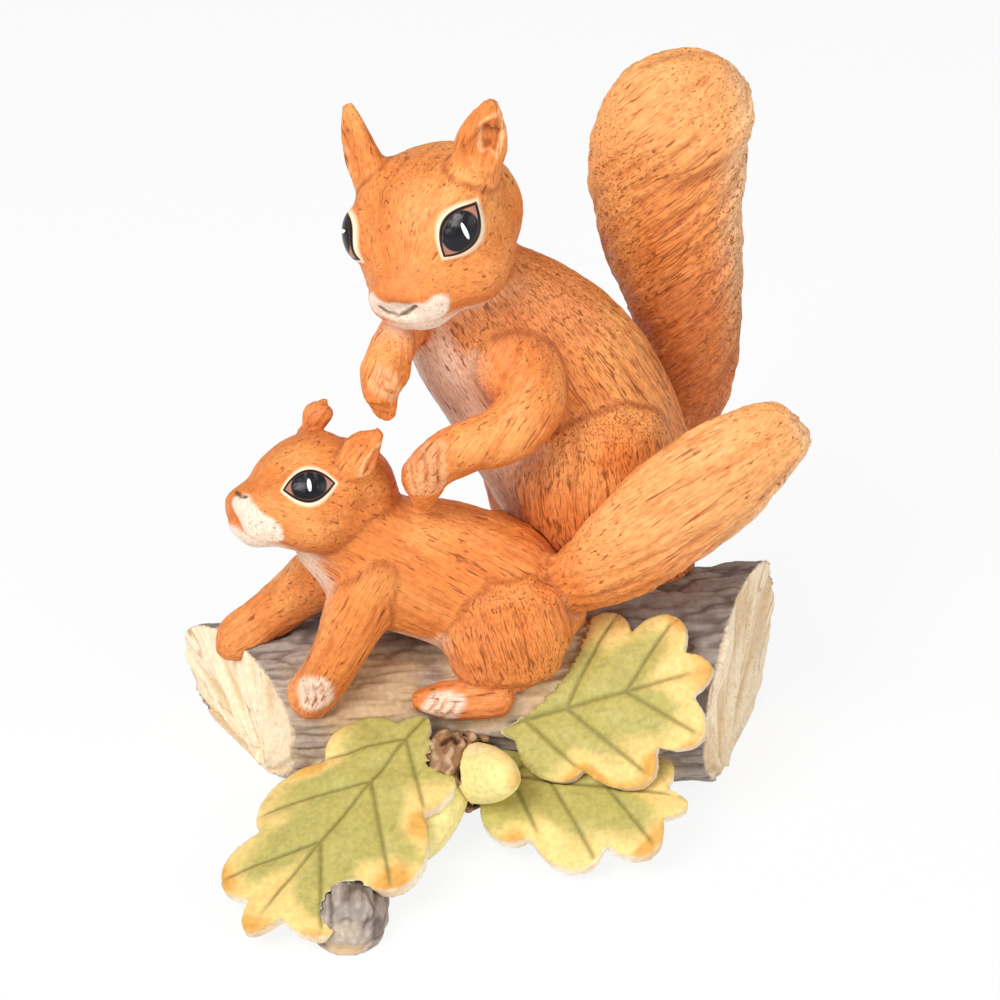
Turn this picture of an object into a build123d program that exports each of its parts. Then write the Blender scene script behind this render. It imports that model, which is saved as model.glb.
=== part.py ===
from build123d import *
import functools
import math
import os

os.makedirs("parts", exist_ok=True)

# Frame: the origin is the middle of the log's flat underside.
# X runs to the viewer's right, Y away from the viewer and Z up. Lengths are millimetres, turns degrees.

# Fits, walls and pegs
LUTE = 0.22
WALL = 3.2
OVERRUN = 4.0
FINE_PEG = 1.1
PEG = 2.0
STOUT_PEG = 3.5
PEG_CLEARANCE = 0.1
VENT_RADIUS = 1.7
VENT_ALONG_SHARE = 0.18
OVAL_POINTS = 10
SECTIONS = 14
TIP_TURN = 80.0
LINE_STEP_SHARE = 0.05

# Log: along, height and depth shares of each oval
LOG_LENGTH = 120.0
LOG_DEPTH = 48.0
LOG_HEIGHT = 39.0
LOG_FLAT = 2.0
LOG_LEFT_SLANT = 34.0
LOG_RIGHT_SLANT = 20.0
LOG_CUT_BACK_SHARE = 0.35
LOG_OVAL_SHARES = (
    (-0.08, 0.60, 0.74), (0.12, 0.67, 0.80), (0.32, 0.78, 0.88), (0.52, 0.88, 0.95), (0.72, 0.94, 0.98),
    (0.90, 0.98, 1.00), (1.10, 1.06, 1.04),
)

# Adult torso: lean, swing, rise, breadth and depth shares of each oval
ADULT_SEAT_SHARES = (0.695, 0.55, -0.54)
ADULT_LEAN = 34.0
ADULT_SWING = 9.0
ADULT_RISE = 77.0
ADULT_BREADTH = 42.0
ADULT_DEPTH = 32.0
ADULT_TORSO_SHARES = (
    (0.00, 0.00, 0.00, 0.64, 0.70), (0.05, 0.00, 0.18, 0.85, 0.88), (0.16, 0.02, 0.37, 0.96, 0.97),
    (0.43, 0.20, 0.64, 1.00, 1.00), (0.79, 0.65, 0.86, 0.82, 0.84), (1.00, 1.00, 1.00, 0.52, 0.60),
)

# Adult head: along, drop, height and width shares of each oval
ADULT_HEAD_LENGTH = 34.0
ADULT_HEAD_HEIGHT = 29.0
ADULT_HEAD_WIDTH = 30.5
ADULT_HEAD_YAW = 27.0
ADULT_HEAD_PITCH = -15.0
ADULT_HEAD_ROLL = 18.0
ADULT_HEAD_PLACE_SHARES = (-0.08, -0.10, 0.27)
HEAD_SHARES = (
    (0.26, 0.00, 0.85, 0.86), (0.35, 0.00, 0.96, 0.96), (0.46, 0.00, 1.00, 1.00), (0.60, 0.03, 0.87, 0.93),
    (0.74, 0.09, 0.66, 0.74), (0.82, 0.12, 0.52, 0.60),
)

# Ears: rise, width and thickness shares of each oval
ADULT_EAR_HEIGHT = 16.0
ADULT_EAR_WIDTH = 9.6
ADULT_EAR_THICKNESS = 5.0
ADULT_EAR_LEAN = 16.0
ADULT_EAR_SWEEP = 0.0
EAR_SHARES = ((0.00, 0.80, 0.80), (0.28, 1.00, 1.00), (0.52, 0.93, 0.90), (0.76, 0.64, 0.66), (0.92, 0.32, 0.42))
EAR_FACE_OUT_SHARE = 0.35
EAR_PLACE_SHARES = (0.30, -0.72, 0.80)
EAR_SCOOP_SHARE = 0.62
EAR_SCOOP_LIFT_SHARE = 0.34
EAR_SCOOP_OUT_SHARE = 0.75

# Adult arms: reach, out, drop and girth shares of each oval
ADULT_ARM_REACH = 13.5
ADULT_ARM_OUT = 18.0
ADULT_ARM_DROP = 26.0
ADULT_ARM_GIRTH = 16.0
ADULT_SHOULDER_SHARES = (0.80, 0.05, 0.30)
ADULT_ARM_SIDE = (0.0, -0.73, 0.61)
ADULT_ARM_SHARES = (
    (0.00, 0.00, 0.00, 1.00), (-0.44, 0.39, 0.15, 0.95), (-0.58, 0.69, 0.35, 0.83), (-0.21, 0.92, 0.50, 0.70),
    (0.31, 1.02, 0.57, 0.61), (0.74, 1.01, 0.71, 0.58), (0.91, 0.96, 0.90, 0.48),
)
ADULT_FOREARM_REACH = 8.0
ADULT_FOREARM_OUT = 20.0
ADULT_FOREARM_DROP = 7.0
ADULT_FOREARM_GIRTH = 9.6
ADULT_FOREARM_ROOT_SHARES = (0.89, 0.62, -0.05)
ADULT_FOREARM_SHARES = (
    (0.00, 0.00, -0.20, 0.90), (0.55, 0.40, -0.16, 0.80), (0.85, 0.75, 0.10, 0.90), (1.00, 0.95, 0.62, 0.92),
    (1.00, 1.00, 0.92, 0.66),
)

# Adult legs: rise, breadth and depth shares of each oval
ADULT_THIGH_HEIGHT = 33.0
ADULT_THIGH_BREADTH = 32.0
ADULT_THIGH_DEPTH = 22.0
THIGH_SHARES = ((-0.22, 0.90, 0.92), (-0.08, 0.99, 1.00), (0.08, 1.00, 1.00), (0.24, 0.90, 0.90))
ADULT_THIGH_LEFT_SHARES = (0.46, -0.08, 0.74)
ADULT_THIGH_RIGHT_SHARES = (0.36, 0.40, -0.66)
ADULT_FOOT_LENGTH = 22.0
ADULT_FOOT_WIDTH = 8.6
ADULT_FOOT_HEIGHT = 8.0
FOOT_SHARES = ((0.10, 0.80, 0.90), (0.40, 0.90, 1.00), (0.72, 1.00, 0.90), (0.92, 0.80, 0.62))
ADULT_FOOT_LEFT_SHARES = (0.70, 0.97, -0.32)
ADULT_FOOT_RIGHT_SHARES = (0.60, 0.86, -0.66)

# Adult tail: reach, back, rise, breadth and depth shares of each oval
ADULT_TAIL_REACH = 18.0
ADULT_TAIL_BACK = 17.0
ADULT_TAIL_RISE = 84.0
ADULT_TAIL_BREADTH = 31.0
ADULT_TAIL_DEPTH = 18.0
ADULT_TAIL_ROOT_SHARES = (0.30, -0.35, -0.40)
ADULT_TAIL_SHARES = (
    (0.00, 0.00, 0.00, 0.36, 0.52), (0.42, 0.36, 0.13, 0.46, 0.64), (0.62, 0.70, 0.28, 0.58, 0.80),
    (0.49, 0.92, 0.44, 0.77, 0.94), (0.33, 1.00, 0.60, 0.92, 1.00), (0.27, 1.00, 0.75, 1.00, 1.00),
    (0.31, 1.00, 0.85, 0.94, 0.93), (0.38, 1.00, 0.925, 0.74, 0.78),
)

# Young torso: length, swing, rise, height and depth shares of each oval
YOUNG_SEAT_SHARES = (0.60, 0.93, 0.38)
YOUNG_LENGTH = 41.0
YOUNG_SWING = 2.0
YOUNG_RISE = 24.0
YOUNG_HEIGHT = 30.0
YOUNG_DEPTH = 26.0
YOUNG_TORSO_SHARES = (
    (0.10, 0.00, 0.16, 0.74, 0.76), (0.26, 0.00, 0.32, 0.98, 0.96), (0.50, 0.10, 0.52, 0.96, 1.00),
    (0.80, 0.60, 0.70, 0.88, 0.94), (0.96, 1.00, 0.94, 0.74, 0.82),
)

# Young head and ears
YOUNG_HEAD_LENGTH = 31.0
YOUNG_HEAD_HEIGHT = 24.0
YOUNG_HEAD_WIDTH = 24.0
YOUNG_HEAD_YAW = 62.0
YOUNG_HEAD_PITCH = 10.0
YOUNG_HEAD_ROLL = 7.0
YOUNG_HEAD_PLACE_SHARES = (-0.26, -0.05, 0.31)
YOUNG_EAR_HEIGHT = 9.0
YOUNG_EAR_WIDTH = 8.0
YOUNG_EAR_THICKNESS = 4.2
YOUNG_EAR_LEAN = 16.0
YOUNG_EAR_SWEEP = 40.0

# Young legs: share of the way down, bow and girth of each oval
YOUNG_FORELEG_GIRTH = 15.0
YOUNG_FORELEG_BOW = 3.0
YOUNG_FORELEG_LEFT_ROOT_SHARES = (0.80, 0.00, 0.45)
YOUNG_FORELEG_LEFT_PAW_SHARES = (0.27, 0.72, 0.80)
YOUNG_FORELEG_RIGHT_ROOT_SHARES = (0.80, 0.25, -0.45)
YOUNG_FORELEG_RIGHT_PAW_SHARES = (0.165, 1.02, 0.02)
YOUNG_FORELEG_SHARES = (
    (0.00, 0.00, 0.00, 1.00), (0.30, 0.70, 0.28, 0.86), (0.60, 1.00, 0.62, 0.70), (0.84, 0.70, 0.86, 0.64),
    (1.00, 0.30, 1.00, 0.66),
)
YOUNG_THIGH_HEIGHT = 26.0
YOUNG_THIGH_BREADTH = 25.0
YOUNG_THIGH_DEPTH = 13.0
YOUNG_THIGH_LEFT_SHARES = (0.20, 0.16, 0.78)
YOUNG_THIGH_RIGHT_SHARES = (0.22, 0.06, -0.92)
YOUNG_FOOT_LENGTH = 17.0
YOUNG_FOOT_WIDTH = 8.0
YOUNG_FOOT_HEIGHT = 7.6
YOUNG_FOOT_LEFT_SHARES = (0.53, 0.50, 0.92)
YOUNG_FOOT_RIGHT_SHARES = (0.51, 1.02, -0.06)

# Young tail: reach, swing, rise, breadth and depth shares of each oval
YOUNG_TAIL_REACH = 49.5
YOUNG_TAIL_SWING = 6.0
YOUNG_TAIL_RISE = 41.5
YOUNG_TAIL_BREADTH = 23.0
YOUNG_TAIL_DEPTH = 13.0
YOUNG_TAIL_ROOT_SHARES = (0.08, -0.30, 0.10)
YOUNG_TAIL_SHARES = (
    (0.00, 0.00, 0.00, 0.40, 0.60), (0.17, 0.60, 0.15, 0.60, 0.80), (0.37, 1.00, 0.38, 0.88, 0.98),
    (0.59, 1.00, 0.63, 1.00, 1.00), (0.78, 0.95, 0.83, 0.84, 0.90), (0.90, 0.90, 0.94, 0.60, 0.68),
)

# Branch: reach, out, rise and girth shares of each oval
BRANCH_ROOT_SHARES = (0.325, -0.50, 0.55)
BRANCH_REACH = 1.0
BRANCH_OUT = 56.0
BRANCH_GIRTH = 14.0
BRANCH_SHARES = ((0.0, 0.0, 1.00, 1.00), (0.4, 0.36, 0.78, 0.96), (0.8, 0.70, 0.55, 0.94), (1.0, 0.88, 0.45, 1.00))

# Oak leaves: lobe foot, lobe tip along, lobe tip across and lobe breadth shares
LEAF_THICKNESS = 2.6
LEAF_BLADE_SHARE = 0.40
LEAF_CURL_SHARE = 1.25
LEAF_LOBE_SHARES = ((0.12, 0.32, 0.37, 0.28), (0.32, 0.62, 0.50, 0.32), (0.60, 0.89, 0.36, 0.27))
LEFT_LEAF_LENGTH = 57.0
LEFT_LEAF_WIDTH = 31.0
LEFT_LEAF_BASE_SHARES = (0.425, 0.42, 1.06)
LEFT_LEAF_LINE = (-0.57, -0.77, -0.28)
LEFT_LEAF_FACING = (-0.12, -0.30, 0.95)
UPPER_LEAF_LENGTH = 44.0
UPPER_LEAF_WIDTH = 34.0
UPPER_LEAF_BASE_SHARES = (0.52, 0.16, 0.95)
UPPER_LEAF_LINE = (0.926, -0.074, 0.368)
UPPER_LEAF_FACING = (-0.33, -0.62, 0.71)
LOWER_LEAF_LENGTH = 43.0
LOWER_LEAF_WIDTH = 27.0
LOWER_LEAF_BASE_SHARES = (0.475, -0.27, 1.28)
LOWER_LEAF_LINE = (0.97, -0.23, 0.08)
LOWER_LEAF_FACING = (-0.10, -0.37, 0.92)

# Acorns: along and radius shares of the nut's and the cup's outlines
ACORN_LENGTH = 30.0
ACORN_RADIUS = 5.9
ACORN_CUP_WALL = 1.3
ACORN_CUP_LENGTH = 14.0
ACORN_NUT_SHARES = ((0.26, 0.92), (0.45, 1.00), (0.66, 0.90), (0.82, 0.62), (0.92, 0.32), (0.97, 0.12))
ACORN_CUP_SHARES = ((0.10, 0.50), (0.30, 0.84), (0.60, 1.00), (0.86, 1.00))
FRONT_ACORN_BASE_SHARES = (0.465, 0.12, 0.99)
FRONT_ACORN_LINE = (-0.30, -0.84, -0.45)
REAR_ACORN_BASE_SHARES = (0.435, -0.36, 0.92)
REAR_ACORN_LINE = (0.50, -0.75, 0.43)

UP = Vector(0, 0, 1)
NEAR = Vector(0, -1, 0)


def oval(plane, across, deep):
    """A smooth closed face through points of an ellipse."""
    spots = []
    for step in range(OVAL_POINTS):
        turn = math.tau * step / OVAL_POINTS
        spots.append(plane.from_local_coords(Vector(across * math.cos(turn), deep * math.sin(turn))))
    return Face(Wire([Edge.make_spline(spots, periodic=True)]))


def blend(values, place):
    """A smooth value between listed ones, place counted in list steps and carried on straight past the ends."""
    last = len(values) - 1
    if place < 0:
        return values[0] + (values[1] - values[0]) * place
    if place > last:
        return values[last] + (values[last] - values[last - 1]) * (place - last)
    index = min(int(place), last - 1)
    part = place - index
    here = values[index]
    after = values[index + 1]
    before = values[max(index - 1, 0)]
    beyond = values[min(index + 2, last)]
    slope = (after - before) * part
    curve = (before * 2 - here * 5 + after * 4 - beyond) * part**2
    twist = (here * 3 - before - after * 3 + beyond) * part**3
    return here + (slope + curve + twist) / 2


class Form:
    """A rounded body lofted through ovals that stand square to its centre line."""

    rounded = True

    def __init__(self, centres, across, deep, side):
        self.centres = centres
        self.across = across
        self.deep = deep
        self.side = side
        self.last = len(centres) - 1

    def plane(self, place):
        line = blend(self.centres, place + LINE_STEP_SHARE) - blend(self.centres, place - LINE_STEP_SHARE)
        return Plane(origin=blend(self.centres, place), x_dir=self.side.cross(line), z_dir=line)

    def end_reach(self, index, grow):
        """How far a rounded end runs past its last oval."""
        return min(self.across[index], self.deep[index]) + grow if self.rounded else 0

    def place(self, run, steps):
        """The place in list steps that a run from the first oval comes to."""
        for index, step in enumerate(steps):
            if run <= step:
                return index + run / step
            run -= step
        return self.last

    def section(self, arc, steps, grow):
        """The oval an arc from the first oval, where both rounded ends are measured round their curve."""
        past = max(arc - sum(steps), 0)
        short = max(-arc, 0)
        place = self.place(max(arc, 0), steps)
        plane = self.plane(place)
        shrink = 1
        if past + short > 0:
            reach = self.end_reach(round(place), grow)
            turn = (past - short) / reach
            plane = plane.offset(reach * math.sin(turn))
            shrink = math.cos(turn)
        return oval(plane, (blend(self.across, place) + grow) * shrink, (blend(self.deep, place) + grow) * shrink)

    def solid(self, grow=0):
        """The body with every face moved out by grow."""
        steps = [(self.centres[index + 1] - self.centres[index]).length for index in range(self.last)]
        first = -self.end_reach(0, grow) * math.radians(TIP_TURN)
        span = sum(steps) + self.end_reach(self.last, grow) * math.radians(TIP_TURN) - first
        arcs = [first + span * step / (SECTIONS - 1) for step in range(SECTIONS)]
        return loft([self.section(arc, steps, grow) for arc in arcs])

    def at(self, share, front=0, left=0):
        """A point: share along the line, then shares of the half sizes to the front and the left."""
        place = share * self.last
        inner = min(max(place, 0), self.last)
        local = Vector(front * blend(self.across, inner), left * blend(self.deep, inner))
        return self.plane(place).from_local_coords(local)


class Log(Form):
    """The log: a form with a flat underside and two slanting broken ends."""

    rounded = False

    def solid(self, grow=0):
        body = super().solid(grow)
        half = LOG_LENGTH / 2
        back = LOG_DEPTH * LOG_CUT_BACK_SHARE
        for way, slant in ((-1, LOG_LEFT_SLANT), (1, LOG_RIGHT_SLANT)):
            normal = Vector(way * math.cos(math.radians(slant)), -math.sin(math.radians(slant)), 0)
            place = Vector(way * half, back, 0) + normal * grow
            body = split(body, bisect_by=Plane(origin=place, z_dir=normal), keep=Keep.BOTTOM)
        return split(body, bisect_by=Plane.XY.offset(-grow), keep=Keep.TOP)


class Foot(Form):
    """A form that stands on the table."""

    def solid(self, grow=0):
        return split(super().solid(grow), bisect_by=Plane.XY, keep=Keep.TOP)


class Turned:
    """A body turned about a line, its outline given as shares of a length and a radius."""

    def __init__(self, base, line, length, radius, shares):
        self.plane = Plane(origin=base, z_dir=line)
        self.length = length
        self.radius = radius
        self.shares = shares

    def at(self, share):
        return self.plane.offset(self.length * share).origin

    def solid(self, grow=0):
        ovals = []
        for along_share, radius_share in self.shares:
            place = self.plane.offset(self.length * along_share)
            ovals.append(place * Circle(self.radius * radius_share + grow))
        low = self.plane.offset(self.length * self.shares[0][0])
        high = self.plane.offset(self.length * self.shares[-1][0])
        body = loft(ovals)
        if grow > 0:
            body += extrude(low * Circle(self.radius * self.shares[0][1] + grow), -grow)
            body += extrude(high * Circle(self.radius * self.shares[-1][1] + grow), grow)
        return body


class Leaf:
    """A lobed oak leaf cut from a sheet that curls across its midrib."""

    def __init__(self, base, line, facing, length, width):
        self.plane = Plane(origin=base, x_dir=Vector(*line), z_dir=Vector(*facing))
        self.length = length
        self.width = width

    def at(self, along_share, across_share=0):
        return self.plane.from_local_coords(Vector(self.length * along_share, self.width * across_share, 0))

    def outline(self):
        blade = Pos(self.length / 2, 0) * Ellipse(self.length / 2, self.width * LEAF_BLADE_SHARE / 2)
        for foot_share, tip_share, across_share, breadth_share in LEAF_LOBE_SHARES:
            for way in (-1, 1):
                foot = Vector(self.length * foot_share, 0)
                tip = Vector(self.length * tip_share, way * self.width * across_share)
                way_out = tip - foot
                turn = math.degrees(math.atan2(way_out.Y, way_out.X))
                middle = foot + way_out / 2
                lobe = Ellipse(way_out.length / 2, self.length * breadth_share / 2)
                blade += Pos(middle.X, middle.Y) * Rot(0, 0, turn) * lobe
        return blade

    def solid(self, grow=0):
        radius = self.width * LEAF_CURL_SHARE
        top = radius + LEAF_THICKNESS / 2 + grow
        low = radius - LEAF_THICKNESS / 2 - grow
        along = Pos(self.length / 2, 0, -radius) * Rot(0, 90, 0)
        sheet = along * Cylinder(top, self.length * 2) - along * Cylinder(low, self.length * 2 + OVERRUN)
        prism = extrude(self.outline(), self.width / 2, both=True)
        return self.plane.location * (sheet & prism)


def rows_form(start, reach, girth, shares, side):
    """A form whose rows give shares of a reach in X, Y and Z and of two girths."""
    centres = []
    for row in shares:
        centres.append(start + Vector(reach[0] * row[0], reach[1] * row[1], reach[2] * row[2]))
    across = [girth[0] * row[3] / 2 for row in shares]
    deep = [girth[1] * row[-1] / 2 for row in shares]
    return Form(centres, across, deep, side)


def head_form(middle, length, height, width, yaw, pitch, roll):
    """A head whose line runs from the back of the skull to the nose."""
    flat = math.cos(math.radians(pitch))
    turn = math.radians(yaw)
    line = Vector(-math.sin(turn) * flat, -math.cos(turn) * flat, math.sin(math.radians(pitch)))
    left = UP.cross(line).normalized().rotate(Axis(middle, line), roll)
    down = left.cross(line)
    centres = []
    for along_share, drop_share, height_share, width_share in HEAD_SHARES:
        centres.append(middle + line * (length * (along_share - 1 / 2)) + down * (height * drop_share))
    across = [height * row[2] / 2 for row in HEAD_SHARES]
    deep = [width * row[3] / 2 for row in HEAD_SHARES]
    return Form(centres, across, deep, left)


def ear_form(head, way, height, width, thickness, lean, sweep):
    """An ear that stands on a head, way 1 for the left ear and -1 for the right."""
    along_share, front_share, left_share = EAR_PLACE_SHARES
    base = head.at(along_share, front_share, way * left_share)
    out = head.side * way
    ahead = (head.centres[-1] - head.centres[0]).normalized()
    line = UP + out * math.tan(math.radians(lean)) - ahead * math.tan(math.radians(sweep))
    line = line.normalized()
    face = ahead + out * EAR_FACE_OUT_SHARE
    face = (face - line * face.dot(line)).normalized()
    centres = [base + line * (height * row[0]) for row in EAR_SHARES]
    across = [width * row[1] / 2 for row in EAR_SHARES]
    deep = [thickness * row[2] / 2 for row in EAR_SHARES]
    return Form(centres, across, deep, face)


def limb_form(root, end, bow, girth, shares, side):
    """A limb from a root to an end that bows towards its side."""
    way = end - root
    centres = []
    for reach_share, bow_share, drop_share, girth_share in shares:
        spot = root + Vector(way.X * reach_share, way.Y * drop_share, way.Z * drop_share)
        centres.append(spot + side * (bow * bow_share))
    sizes = [girth * row[3] / 2 for row in shares]
    return Form(centres, sizes, sizes, side)


def thigh_form(middle, height, breadth, depth):
    """A rounded haunch about a middle."""
    centres = [middle + UP * (height * row[0]) for row in THIGH_SHARES]
    across = [breadth * row[1] / 2 for row in THIGH_SHARES]
    deep = [depth * row[2] / 2 for row in THIGH_SHARES]
    return Form(centres, across, deep, NEAR)


def foot_form(heel, length, width, height):
    """A foot that lies along the log and points the way the animals face."""
    centres = [heel - Vector(length * row[0], 0, 0) for row in FOOT_SHARES]
    across = [height * row[2] / 2 for row in FOOT_SHARES]
    deep = [width * row[1] / 2 for row in FOOT_SHARES]
    return Form(centres, across, deep, NEAR)


# Forms, the log first and each animal's limbs after its torso
log_centres = []
log_half_heights = []
log_half_depths = []
for along_share, height_share, depth_share in LOG_OVAL_SHARES:
    half_height = (LOG_HEIGHT * height_share + LOG_FLAT) / 2
    log_centres.append(Vector(LOG_LENGTH * (along_share - 1 / 2), 0, half_height - LOG_FLAT))
    log_half_heights.append(half_height)
    log_half_depths.append(LOG_DEPTH * depth_share / 2)
log = Log(log_centres, log_half_heights, log_half_depths, NEAR)

adult = rows_form(
    log.at(*ADULT_SEAT_SHARES), (-ADULT_LEAN, -ADULT_SWING, ADULT_RISE), (ADULT_BREADTH, ADULT_DEPTH),
    ADULT_TORSO_SHARES, NEAR)
adult_head = head_form(
    adult.at(1) + Vector(*ADULT_HEAD_PLACE_SHARES) * ADULT_HEAD_LENGTH, ADULT_HEAD_LENGTH, ADULT_HEAD_HEIGHT,
    ADULT_HEAD_WIDTH, ADULT_HEAD_YAW, ADULT_HEAD_PITCH, ADULT_HEAD_ROLL)
adult_thigh_left = thigh_form(
    adult.at(*ADULT_THIGH_LEFT_SHARES), ADULT_THIGH_HEIGHT, ADULT_THIGH_BREADTH, ADULT_THIGH_DEPTH)
adult_thigh_right = thigh_form(
    adult.at(*ADULT_THIGH_RIGHT_SHARES), ADULT_THIGH_HEIGHT, ADULT_THIGH_BREADTH, ADULT_THIGH_DEPTH)
adult_foot_left = foot_form(
    log.at(*ADULT_FOOT_LEFT_SHARES), ADULT_FOOT_LENGTH, ADULT_FOOT_WIDTH, ADULT_FOOT_HEIGHT)
adult_foot_right = foot_form(
    log.at(*ADULT_FOOT_RIGHT_SHARES), ADULT_FOOT_LENGTH, ADULT_FOOT_WIDTH, ADULT_FOOT_HEIGHT)
adult_tail = rows_form(
    adult.at(*ADULT_TAIL_ROOT_SHARES), (ADULT_TAIL_REACH, ADULT_TAIL_BACK, ADULT_TAIL_RISE),
    (ADULT_TAIL_BREADTH, ADULT_TAIL_DEPTH), ADULT_TAIL_SHARES, NEAR)

young = rows_form(
    log.at(*YOUNG_SEAT_SHARES), (-YOUNG_LENGTH, -YOUNG_SWING, YOUNG_RISE), (YOUNG_HEIGHT, YOUNG_DEPTH),
    YOUNG_TORSO_SHARES, NEAR)
young_head = head_form(
    young.at(1) + Vector(*YOUNG_HEAD_PLACE_SHARES) * YOUNG_HEAD_LENGTH, YOUNG_HEAD_LENGTH, YOUNG_HEAD_HEIGHT,
    YOUNG_HEAD_WIDTH, YOUNG_HEAD_YAW, YOUNG_HEAD_PITCH, YOUNG_HEAD_ROLL)
young_foreleg_left = limb_form(
    young.at(*YOUNG_FORELEG_LEFT_ROOT_SHARES), log.at(*YOUNG_FORELEG_LEFT_PAW_SHARES), YOUNG_FORELEG_BOW,
    YOUNG_FORELEG_GIRTH, YOUNG_FORELEG_SHARES, NEAR)
young_foreleg_right = limb_form(
    young.at(*YOUNG_FORELEG_RIGHT_ROOT_SHARES), log.at(*YOUNG_FORELEG_RIGHT_PAW_SHARES), YOUNG_FORELEG_BOW,
    YOUNG_FORELEG_GIRTH, YOUNG_FORELEG_SHARES, -NEAR)
young_thigh_left = thigh_form(
    young.at(*YOUNG_THIGH_LEFT_SHARES), YOUNG_THIGH_HEIGHT, YOUNG_THIGH_BREADTH, YOUNG_THIGH_DEPTH)
young_thigh_right = thigh_form(
    young.at(*YOUNG_THIGH_RIGHT_SHARES), YOUNG_THIGH_HEIGHT, YOUNG_THIGH_BREADTH, YOUNG_THIGH_DEPTH)
young_foot_left = foot_form(
    log.at(*YOUNG_FOOT_LEFT_SHARES), YOUNG_FOOT_LENGTH, YOUNG_FOOT_WIDTH, YOUNG_FOOT_HEIGHT)
young_foot_right = foot_form(
    log.at(*YOUNG_FOOT_RIGHT_SHARES), YOUNG_FOOT_LENGTH, YOUNG_FOOT_WIDTH, YOUNG_FOOT_HEIGHT)
young_tail = rows_form(
    young.at(*YOUNG_TAIL_ROOT_SHARES), (YOUNG_TAIL_REACH, -YOUNG_TAIL_SWING, YOUNG_TAIL_RISE),
    (YOUNG_TAIL_BREADTH, YOUNG_TAIL_DEPTH), YOUNG_TAIL_SHARES, NEAR)

adult_arm_left = rows_form(
    adult.at(*ADULT_SHOULDER_SHARES), (-ADULT_ARM_REACH, -ADULT_ARM_OUT, -ADULT_ARM_DROP),
    (ADULT_ARM_GIRTH, ADULT_ARM_GIRTH), ADULT_ARM_SHARES, Vector(*ADULT_ARM_SIDE))
adult_arm_right = rows_form(
    adult.at(*ADULT_FOREARM_ROOT_SHARES), (-ADULT_FOREARM_REACH, -ADULT_FOREARM_OUT, -ADULT_FOREARM_DROP),
    (ADULT_FOREARM_GIRTH, ADULT_FOREARM_GIRTH), ADULT_FOREARM_SHARES, -NEAR)

branch_root = log.at(*BRANCH_ROOT_SHARES)
branch_centres = []
for reach_share, out_share, rise_share, girth_share in BRANCH_SHARES:
    step = Vector(-BRANCH_REACH * reach_share, -BRANCH_OUT * out_share, branch_root.Z * (rise_share - 1))
    branch_centres.append(branch_root + step)
branch_sizes = [BRANCH_GIRTH * row[3] / 2 for row in BRANCH_SHARES]
branch = Foot(branch_centres, branch_sizes, branch_sizes, Vector(1, 0, 0))

acorns = {}
for end, base_shares, line in (
    ("front", FRONT_ACORN_BASE_SHARES, FRONT_ACORN_LINE), ("rear", REAR_ACORN_BASE_SHARES, REAR_ACORN_LINE)
):
    base = log.at(*base_shares)
    cup_radius = ACORN_RADIUS + ACORN_CUP_WALL + LUTE
    acorns[end + "_acorn_nut"] = Turned(base, line, ACORN_LENGTH, ACORN_RADIUS, ACORN_NUT_SHARES)
    acorns[end + "_acorn_cup"] = Turned(base, line, ACORN_CUP_LENGTH, cup_radius, ACORN_CUP_SHARES)

left_leaf = Leaf(
    log.at(*LEFT_LEAF_BASE_SHARES), LEFT_LEAF_LINE, LEFT_LEAF_FACING, LEFT_LEAF_LENGTH, LEFT_LEAF_WIDTH)
upper_leaf = Leaf(
    log.at(*UPPER_LEAF_BASE_SHARES), UPPER_LEAF_LINE, UPPER_LEAF_FACING, UPPER_LEAF_LENGTH, UPPER_LEAF_WIDTH)
lower_leaf = Leaf(
    log.at(*LOWER_LEAF_BASE_SHARES), LOWER_LEAF_LINE, LOWER_LEAF_FACING, LOWER_LEAF_LENGTH, LOWER_LEAF_WIDTH)

adult_ears = {}
young_ears = {}
for end, way in (("left", 1), ("right", -1)):
    adult_ears[end] = ear_form(
        adult_head, way, ADULT_EAR_HEIGHT, ADULT_EAR_WIDTH, ADULT_EAR_THICKNESS, ADULT_EAR_LEAN,
        ADULT_EAR_SWEEP)
    young_ears[end] = ear_form(
        young_head, way, YOUNG_EAR_HEIGHT, YOUNG_EAR_WIDTH, YOUNG_EAR_THICKNESS, YOUNG_EAR_LEAN,
        YOUNG_EAR_SWEEP)

# Which form each piece has, and which neighbours' seats are cut from it
FORMS = {
    "log_base": log, "branch_leg": branch, **acorns,
    "oak_leaf_left": left_leaf, "oak_leaf_right_upper": upper_leaf, "oak_leaf_right_lower": lower_leaf,
    "adult_torso": adult, "adult_head": adult_head, "adult_tail": adult_tail,
    "adult_ear_left": adult_ears["left"], "adult_ear_right": adult_ears["right"],
    "adult_arm_left": adult_arm_left, "adult_arm_right": adult_arm_right,
    "adult_thigh_left": adult_thigh_left, "adult_thigh_right": adult_thigh_right,
    "adult_foot_left": adult_foot_left, "adult_foot_right": adult_foot_right,
    "young_torso": young, "young_head": young_head, "young_tail": young_tail,
    "young_ear_left": young_ears["left"], "young_ear_right": young_ears["right"],
    "young_foreleg_left": young_foreleg_left, "young_foreleg_right": young_foreleg_right,
    "young_thigh_left": young_thigh_left, "young_thigh_right": young_thigh_right,
    "young_foot_left": young_foot_left, "young_foot_right": young_foot_right,
}
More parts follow.
